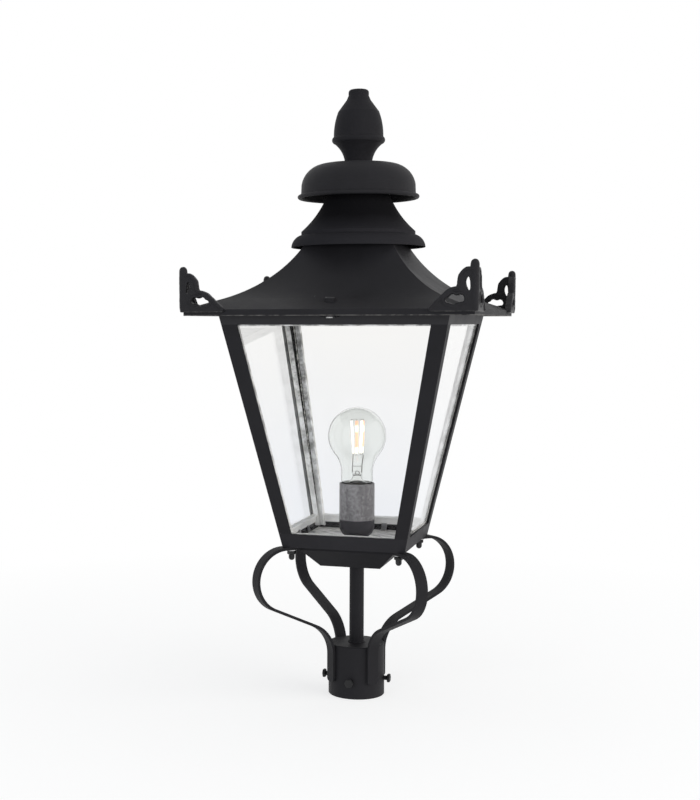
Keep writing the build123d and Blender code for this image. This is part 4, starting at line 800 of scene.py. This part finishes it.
def add_cross_bead(bm, spin, wall, edge, back):
    """A level bead between the two upright ones, with its lip at edge."""
    near, far = (value * MM for value in BEAD_LEVELS)
    lip, rise = (value * MM for value in BEAD_LIP)
    step = -lip if edge > back else lip
    section = (
        (back, near),
        (edge, near),
        (edge, far + rise),
        (edge + step, far + rise),
        (edge + step, far),
        (back, far),
    )
    rings = []
    for side in (-1, 1):
        ends = [(bead_inner(z, wall, side) + BEAD_JOINT * MM, depth, z) for z, depth in section]
        rings.append([spin @ wall_place(*end, side) for end in ends])
    add_prism(bm, *rings)


def add_beads():
    """Metal beads with a standing lip, which hold the panes."""
    for wall, angle in WALLS.items():
        bm = bmesh.new()
        spin = turn_about(angle)
        for side in (-1, 1):
            add_upright_bead(bm, spin, side, wall)
        sight = BASE_RAIL_TOP + SIGHT_RISE[wall] * MM
        add_cross_bead(bm, spin, wall, sight, sight - CROSS_BEAD * MM)
        add_cross_bead(bm, spin, wall, *(TOP_RAIL_BASE + level * MM for level in HEAD_BEAD))
        put_piece(f"beads_{wall}", bm, aluminium, "lantern", (f"glazing_beads_{wall}",))


def seal_line(bm, start, end, thin, thick, size):
    """An uneven bead of sealant from start to end, pulled thin in places."""
    count = int((end - start).length / SEAL_STEP)
    path = [start.lerp(end, step / count) for step in range(count + 1)]
    radii = [thin + (thick - thin) * max(0.0, rough(place, size) + 0.25) ** 1.5 for place in path]
    add_tube(bm, path, radii, sides=8)


def add_sealant():
    """Sealant pressed out along the panes' inner edges and in the corners between the beads."""
    pane = BEAD_LEVELS[0] * MM
    high = TOP_RAIL_BASE - SEAL_HEAD * MM
    for wall, angle in WALLS.items():
        bm = bmesh.new()
        spin = turn_about(angle)
        low = BASE_RAIL_TOP + (SIGHT_RISE[wall] + 0.4) * MM
        for side in (-1, 1) if wall != "front" else ():
            ends = [spin @ wall_place(bead_inner(z, wall, side), pane, z, side) for z in (low, high)]
            seal_line(bm, *ends, 0.15 * MM, 0.7 * MM, 5 * MM)
        foot = [spin @ wall_place(bead_inner(low, wall, side), pane, low, side) for side in (-1, 1)]
        seal_line(bm, *foot, 0.15 * MM, 0.6 * MM, 6 * MM)
        for side in (-1, 1):
            insets = [bead_outer(z, wall, side) - SEAL_GAP[wall] * MM for z in (low, high)]
            ends = zip(insets, (low, high))
            corner = [spin @ wall_place(inset, SEAL_DEPTH * MM, z, side) for inset, z in ends]
            seal_line(bm, *corner, 0.2 * MM, 1.5 * MM, 3 * MM)
        put_piece(f"sealant_{wall}", bm, sealant, "lantern")


# ---- welds -------------------------------------------------------------------------------------
def weld_ring(bm, radius, height, rise):
    """A rippled bead round an upright tube where it meets a level face."""
    steps = 72
    path, radii = [], []
    for step in range(steps):
        turn = 2 * pi * step / steps
        place = Vector((radius * cos(turn), radius * sin(turn), height))
        path.append(place)
        radii.append(rise * (1 + 0.16 * rough(place, 2.2 * MM) + 0.08 * sin(24 * turn)))
    add_tube(bm, path, radii, closed=True)


def add_welds():
    tube_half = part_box("conduit_tube")[1].x
    bm = bmesh.new()
    for level in (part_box("post_collar")[1].z + 0.2 * MM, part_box("conduit_tube")[1].z - 0.2 * MM):
        weld_ring(bm, tube_half + 0.2 * MM, level, 1.1 * MM)
    put_piece("welds", bm, black_coat, "lantern")


# ---- bolts, nuts and screws --------------------------------------------------------------------
NUT_FLATS, NUT_HEX_HEIGHT, NUT_DOME = 8.0, 4.0, 3.1
NUT_TURNS = {"back_right": 20, "back_left": 50, "front_left": 80, "front_right": 110}


def add_dome_nuts():
    """Capped nuts with chamfered hexagons, hanging under the four arms."""
    low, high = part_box("arm_nuts")
    bm = bmesh.new()
    hexagon, dome, chamfer = NUT_FLATS * MM / sqrt(3), NUT_DOME * MM, 0.6 * MM
    reach = high.x - hexagon
    hex_foot = high.z - NUT_HEX_HEIGHT * MM
    profile = [(0, hex_foot), (hexagon * 0.86, hex_foot), (hexagon, hex_foot + chamfer)]
    profile += [(hexagon, high.z - chamfer), (hexagon * 0.9, high.z), (0, high.z)]
    turns = [step * pi / 16 for step in range(8)]
    cap = [(dome * cos(turn), low.z + dome - dome * sin(turn)) for turn in reversed(turns)]
    cap = [(0, low.z), *cap, (dome, hex_foot + chamfer), (0, hex_foot + chamfer)]
    for corner, angle in CORNERS.items():
        place = turn_about(angle) @ Matrix.Translation((reach, reach, 0)) @ turn_about(NUT_TURNS[corner])
        add_lathe(bm, profile, 6, place)
        add_lathe(bm, cap, 28, place)
    put_piece("dome_nuts", bm, nut_steel, "lantern", ("arm_nuts",))


SCREW_SIDES = {"right": 0, "back": 90, "left": 180, "front": 270}
SCREW_FLATS, SCREW_HEAD = 8.0, 3.0
SCREW_THREAD = (2.5, 2.1, 0.8)  # crest radius, root radius and pitch


def add_set_screws():
    """Hexagon headed screws with cut threads, one on each side of the collar."""
    low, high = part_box("set_screw_right")
    axis_height = (low.z + high.z) / 2
    head = SCREW_FLATS * MM / sqrt(3)
    seat = high.x - SCREW_HEAD * MM
    thread, root, pitch = (value * MM for value in SCREW_THREAD)
    turns = int((seat - low.x) / pitch)
    shank = [(0, low.x), (root, low.x)]
    for index in range(turns):
        start = low.x + index * pitch
        shank += [(root, start + 0.1 * MM), (thread, start + pitch / 2), (root, start + pitch)]
    shank += [(root, seat), (0, seat)]
    chamfer = 0.5 * MM
    cap = [(0, seat), (head * 0.92, seat), (head, seat + chamfer), (head, high.x - chamfer)]
    cap += [(head * 0.85, high.x), (0, high.x - 0.3 * MM)]
    lying = Matrix.Translation((0, 0, axis_height)) @ Matrix.Rotation(pi / 2, 4, "Y")
    for side, angle in SCREW_SIDES.items():
        bm = bmesh.new()
        along = turn_about(angle) @ lying
        add_lathe(bm, shank, 24, along)
        add_lathe(bm, cap, 6, along @ turn_about(30))
        screw = f"set_screw_{side}"
        put_piece(f"hex_screw_{side}", bm, screw_steel, screw, (screw,))


# ---- the lamp's inside -------------------------------------------------------------------------
VIEW_TURN = CAMERA_HEADING  # the strips face the same way as the camera
STRIP_SIDES = 12
STRIP_HALF_DEPTH = 0.5
STRIP_TAB = 1.6
TAB_RADIUS, HANGER_RADIUS, LINK_RADIUS, LEAD_RADIUS = 0.35 * MM, 0.16 * MM, 0.2 * MM, 0.36 * MM
# each strip's foot and top in mm, across the view and away from it, its bow, half width and tint
STRIPS = (
    ((-4.2, -1.0), (-6.0, 0.5), 0.3, 1.1, "white"),
    ((-0.8, -4.0), (-0.8, -2.5), 0.0, 1.55, "amber"),
    ((3.3, 0.8), (4.9, 1.8), 0.2, 1.35, "white"),
    ((6.0, 3.5), (6.9, 2.6), 0.4, 0.7, "amber"),
)


def strip_path(foot, top, bow, low, high, steps=14):
    places = []
    for step in range(steps + 1):
        share = step / steps
        across = foot[0] + (top[0] - foot[0]) * share + bow * sin(pi * share)
        away = foot[1] + (top[1] - foot[1]) * share
        height = low + (high - low) * share
        places.append(turn_about(VIEW_TURN) @ Vector((across * MM, away * MM, height)))
    return places


def add_strips():
    """Four flat light strips with metal tabs, on thin wires over the stem's press."""
    low, high = (corner.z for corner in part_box("bulb_filaments"))
    tab = Vector((0, 0, STRIP_TAB * MM))
    strips = {"white": bmesh.new(), "amber": bmesh.new()}
    wires = bmesh.new()
    away = turn_about(VIEW_TURN).to_3x3() @ Vector((0, 1, 0))
    feet = []
    for foot, top, bow, half_width, tint in STRIPS:
        path = strip_path(foot, top, bow, low + tab.z, high - tab.z)
        bm = strips[tint]
        before = len(bm.verts)
        add_tube(bm, path, half_width * MM, sides=STRIP_SIDES)
        bm.verts.ensure_lookup_table()
        for index, vertex in enumerate(bm.verts[before:]):  # flattens the strip along the view
            offset = vertex.co - path[index // STRIP_SIDES]
            vertex.co -= away * offset.dot(away) * (1 - STRIP_HALF_DEPTH / half_width)
        for end, way in ((path[0], -tab), (path[-1], tab)):
            add_tube(wires, [end, end + way], TAB_RADIUS, sides=8)
        add_tube(wires, [path[-1] + tab, Vector((0, 0, high))], HANGER_RADIUS, sides=8)
        feet.append(path[0] - tab)
    for first, second in ((feet[0], feet[1]), (feet[3], feet[2])):
        add_tube(wires, [first, second], LINK_RADIUS, sides=8)
    put_piece("strips_white", strips["white"], white_strip, "bulb", ("bulb_filaments",))
    put_piece("strips_amber", strips["amber"], amber_strip, "bulb")
    put_piece("strip_wires", wires, pale_wire, "bulb")


PRESS_FOOT, PRESS_TOP = 228.6 * MM, 239.4 * MM
PRESS_HALF = (5.6, 1.7)
PRESS_SIDES = 24
STEM_NECK = 4.6
STEM_WALL = 0.8 * MM
# each lead wire in mm across the view: at its foot in the press, at the press's top and at the strips
LEADS = ((-4.9, -4.6, -4.2), (4.7, 5.0, 6.4))
LEAD_FOOT = PRESS_FOOT + 3 * MM
BRIDGE = (-4.6, -2, 2, 5.0)  # the level wire across the press, in mm across the view
BRIDGE_DEPTH, BRIDGE_DROP, BRIDGE_RADIUS = -1.9 * MM, 0.8 * MM, 0.22 * MM
EYELET, EYELET_RADIUS = Vector((-0.2, -5.2, 231.8)) * MM, 2.1  # wire ring in front of the press


def press_ring(bm, spin, width, depth, height):
    """A ring of points round the press, squarer across than a circle."""
    ring = []
    for corner in range(PRESS_SIDES):
        turn = 2 * pi * corner / PRESS_SIDES
        across = abs(cos(turn)) ** 0.6 * (1 if cos(turn) > 0 else -1)
        ring.append(bm.verts.new(spin @ Vector((width * across * MM, depth * sin(turn) * MM, height))))
    return ring


def add_stem():
    """Flared glass stem, pinched to a flat press with a rounded top."""
    low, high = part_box("bulb_stem")
    bm = bmesh.new()
    profile = []
    for step in range(13):
        share = step / 12
        radius = STEM_NECK + (high.x / MM - STEM_NECK) * (1 - share) ** 2.6
        profile.append((radius * MM, low.z + (PRESS_FOOT + MM - low.z) * share))
    inner = [(radius - STEM_WALL, height) for radius, height in profile]
    add_lathe(bm, profile + inner[::-1] + [profile[0]], 40)
    spin = turn_about(VIEW_TURN)
    rings = []
    for step in range(11):
        share = step / 10
        pinch = min(1.0, share * 3)
        close = sqrt(max(0.0, 1 - max(0.0, share * 6 - 5) ** 2 * 0.5))
        width, depth = ((STEM_NECK + (half - STEM_NECK) * pinch) * close for half in PRESS_HALF)
        rings.append(press_ring(bm, spin, width, depth, PRESS_FOOT + (PRESS_TOP - PRESS_FOOT) * share))
    for under, over in zip(rings, rings[1:]):
        for corner in range(PRESS_SIDES):
            beyond = (corner + 1) % PRESS_SIDES
            bm.faces.new((under[corner], under[beyond], over[beyond], over[corner]))
    bm.faces.new(reversed(rings[0]))
    bm.faces.new(rings[-1])
    put_piece("stem", bm, stem_glass, "bulb", ("bulb_stem",))


def add_lead_wires():
    """Two dark wires up to the strips, with a level wire and a ring in front of the press."""
    spin = turn_about(VIEW_TURN)
    heights = (LEAD_FOOT, PRESS_TOP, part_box("bulb_stem")[1].z)
    bm = bmesh.new()
    for lead in LEADS:
        path = [spin @ Vector((across * MM, 0, height)) for across, height in zip(lead, heights)]
        add_tube(bm, path, LEAD_RADIUS, sides=8)
    eyelet = []
    for step in range(20):
        turn = pi * step / 10
        eyelet.append(spin @ (EYELET + Vector((cos(turn), 0, sin(turn))) * EYELET_RADIUS * MM))
    add_tube(bm, eyelet, LEAD_RADIUS, sides=8, closed=True)
    level = PRESS_TOP - BRIDGE_DROP
    bridge = [spin @ Vector((across * MM, BRIDGE_DEPTH, level)) for across in BRIDGE]
    add_tube(bm, bridge, BRIDGE_RADIUS, sides=8)
    put_piece("lead_wires", bm, wire_metal, "bulb")


add_castings()
add_posts()
add_beads()
add_sealant()
add_welds()
add_dome_nuts()
add_set_screws()
add_strips()
add_stem()
add_lead_wires()


# ---- floor, light and background ---------------------------------------------------------------
def seen_by_eye(nodes, links):
    """1 for rays that show the background itself: straight, mirrored or through glass."""
    path = nodes.new("ShaderNodeLightPath")
    total = path.outputs["Is Camera Ray"]
    for name in ("Is Glossy Ray", "Is Transmission Ray"):
        joined = nodes.new("ShaderNodeMath")
        joined.operation = "MAXIMUM"
        links.new(total, joined.inputs[0])
        links.new(path.outputs[name], joined.inputs[1])
        total = joined.outputs[0]
    return total


def add_world():
    world = bpy.data.worlds.new("studio")
    bpy.context.scene.world = world
    world.use_nodes = True
    nodes, links = world.node_tree.nodes, world.node_tree.links
    nodes.clear()
    lit = nodes.new("ShaderNodeBackground")
    lit.inputs["Color"].default_value = (0.90, 0.95, 1.0, 1)
    lit.inputs["Strength"].default_value = 0.28
    shown = nodes.new("ShaderNodeBackground")
    shown.inputs["Color"].default_value = (1, 1, 1, 1)
    shown.inputs["Strength"].default_value = 1.0
    mixed = nodes.new("ShaderNodeMixShader")
    out = nodes.new("ShaderNodeOutputWorld")
    links.new(seen_by_eye(nodes, links), mixed.inputs[0])
    links.new(lit.outputs[0], mixed.inputs[1])
    links.new(shown.outputs[0], mixed.inputs[2])
    links.new(mixed.outputs[0], out.inputs["Surface"])


FLOOR_HALF = 6.0
SHADOW_REACH = (0.25, 0.9)  # the floor shows its shading near the lantern and is plain white beyond


def add_floor():
    mesh = bpy.data.meshes.new("floor")
    corners = [(x * FLOOR_HALF, y * FLOOR_HALF, 0) for x, y in ((-1, -1), (1, -1), (1, 1), (-1, 1))]
    mesh.from_pydata(corners, [], [(0, 1, 2, 3)])
    floor = bpy.data.objects.new("floor", mesh)
    bpy.context.collection.objects.link(floor)
    t = Tree("studio_floor")
    lit = t.put(t.add("BsdfDiffuse"), Color=(0.78, 0.78, 0.78, 1))
    near = t.put(t.add("BsdfDiffuse"), Color=(0.45, 0.45, 0.45, 1))
    glow = t.put(t.add("Emission"), Color=(1, 1, 1, 1), Strength=0.72)
    shaded = t.put(t.add("AddShader"), _0=near.outputs[0], _1=glow.outputs[0])
    white = t.put(t.add("Emission"), Color=(1, 1, 1, 1), Strength=1.0)
    distance = t.put(t.add("VectorMath", operation="LENGTH"), _0=t.place).outputs["Value"]
    mirrored = t.math("SUBTRACT", 1.0, t.add("LightPath").outputs["Is Camera Ray"])
    far = t.math("MAXIMUM", t.span(distance, *SHADOW_REACH), mirrored)
    shown = t.put(t.add("MixShader"), _0=far, _1=shaded.outputs[0], _2=white.outputs[0])
    both = t.put(
        t.add("MixShader"),
        _0=seen_by_eye(t.nodes, t.links),
        _1=lit.outputs[0],
        _2=shown.outputs[0],
    )
    t.links.new(both.outputs[0], t.output.inputs["Surface"])
    mesh.materials.append(t.material)


def add_area_light(name, place, target, size, power, colour):
    data = bpy.data.lights.new(name, "AREA")
    data.shape = "RECTANGLE"
    data.size, data.size_y = size
    data.energy = power
    data.color = colour
    lamp = bpy.data.objects.new(name, data)
    bpy.context.collection.objects.link(lamp)
    lamp.location = place
    lamp.visible_glossy = False  # panes mirror the plain room alone
    lamp.visible_transmission = False
    lamp.rotation_euler = (Vector(target) - Vector(place)).to_track_quat("-Z", "Y").to_euler()


def add_lights():
    middle = (0, 0, 0.35)
    add_area_light("window", (3.2, -0.5, 0.6), middle, (4.0, 1.1), 105, (1.0, 0.97, 0.92))
    add_area_light("ceiling", (0.2, 0.3, 3.0), middle, (4.0, 4.0), 14, (1.0, 0.98, 0.95))
    add_area_light("front_fill", (-1.0, -3.4, 0.6), middle, (4.0, 1.2), 60, (0.94, 0.97, 1.0))


add_camera()
add_world()
add_floor()
add_lights()
bpy.context.scene.view_settings.view_transform = "Standard"
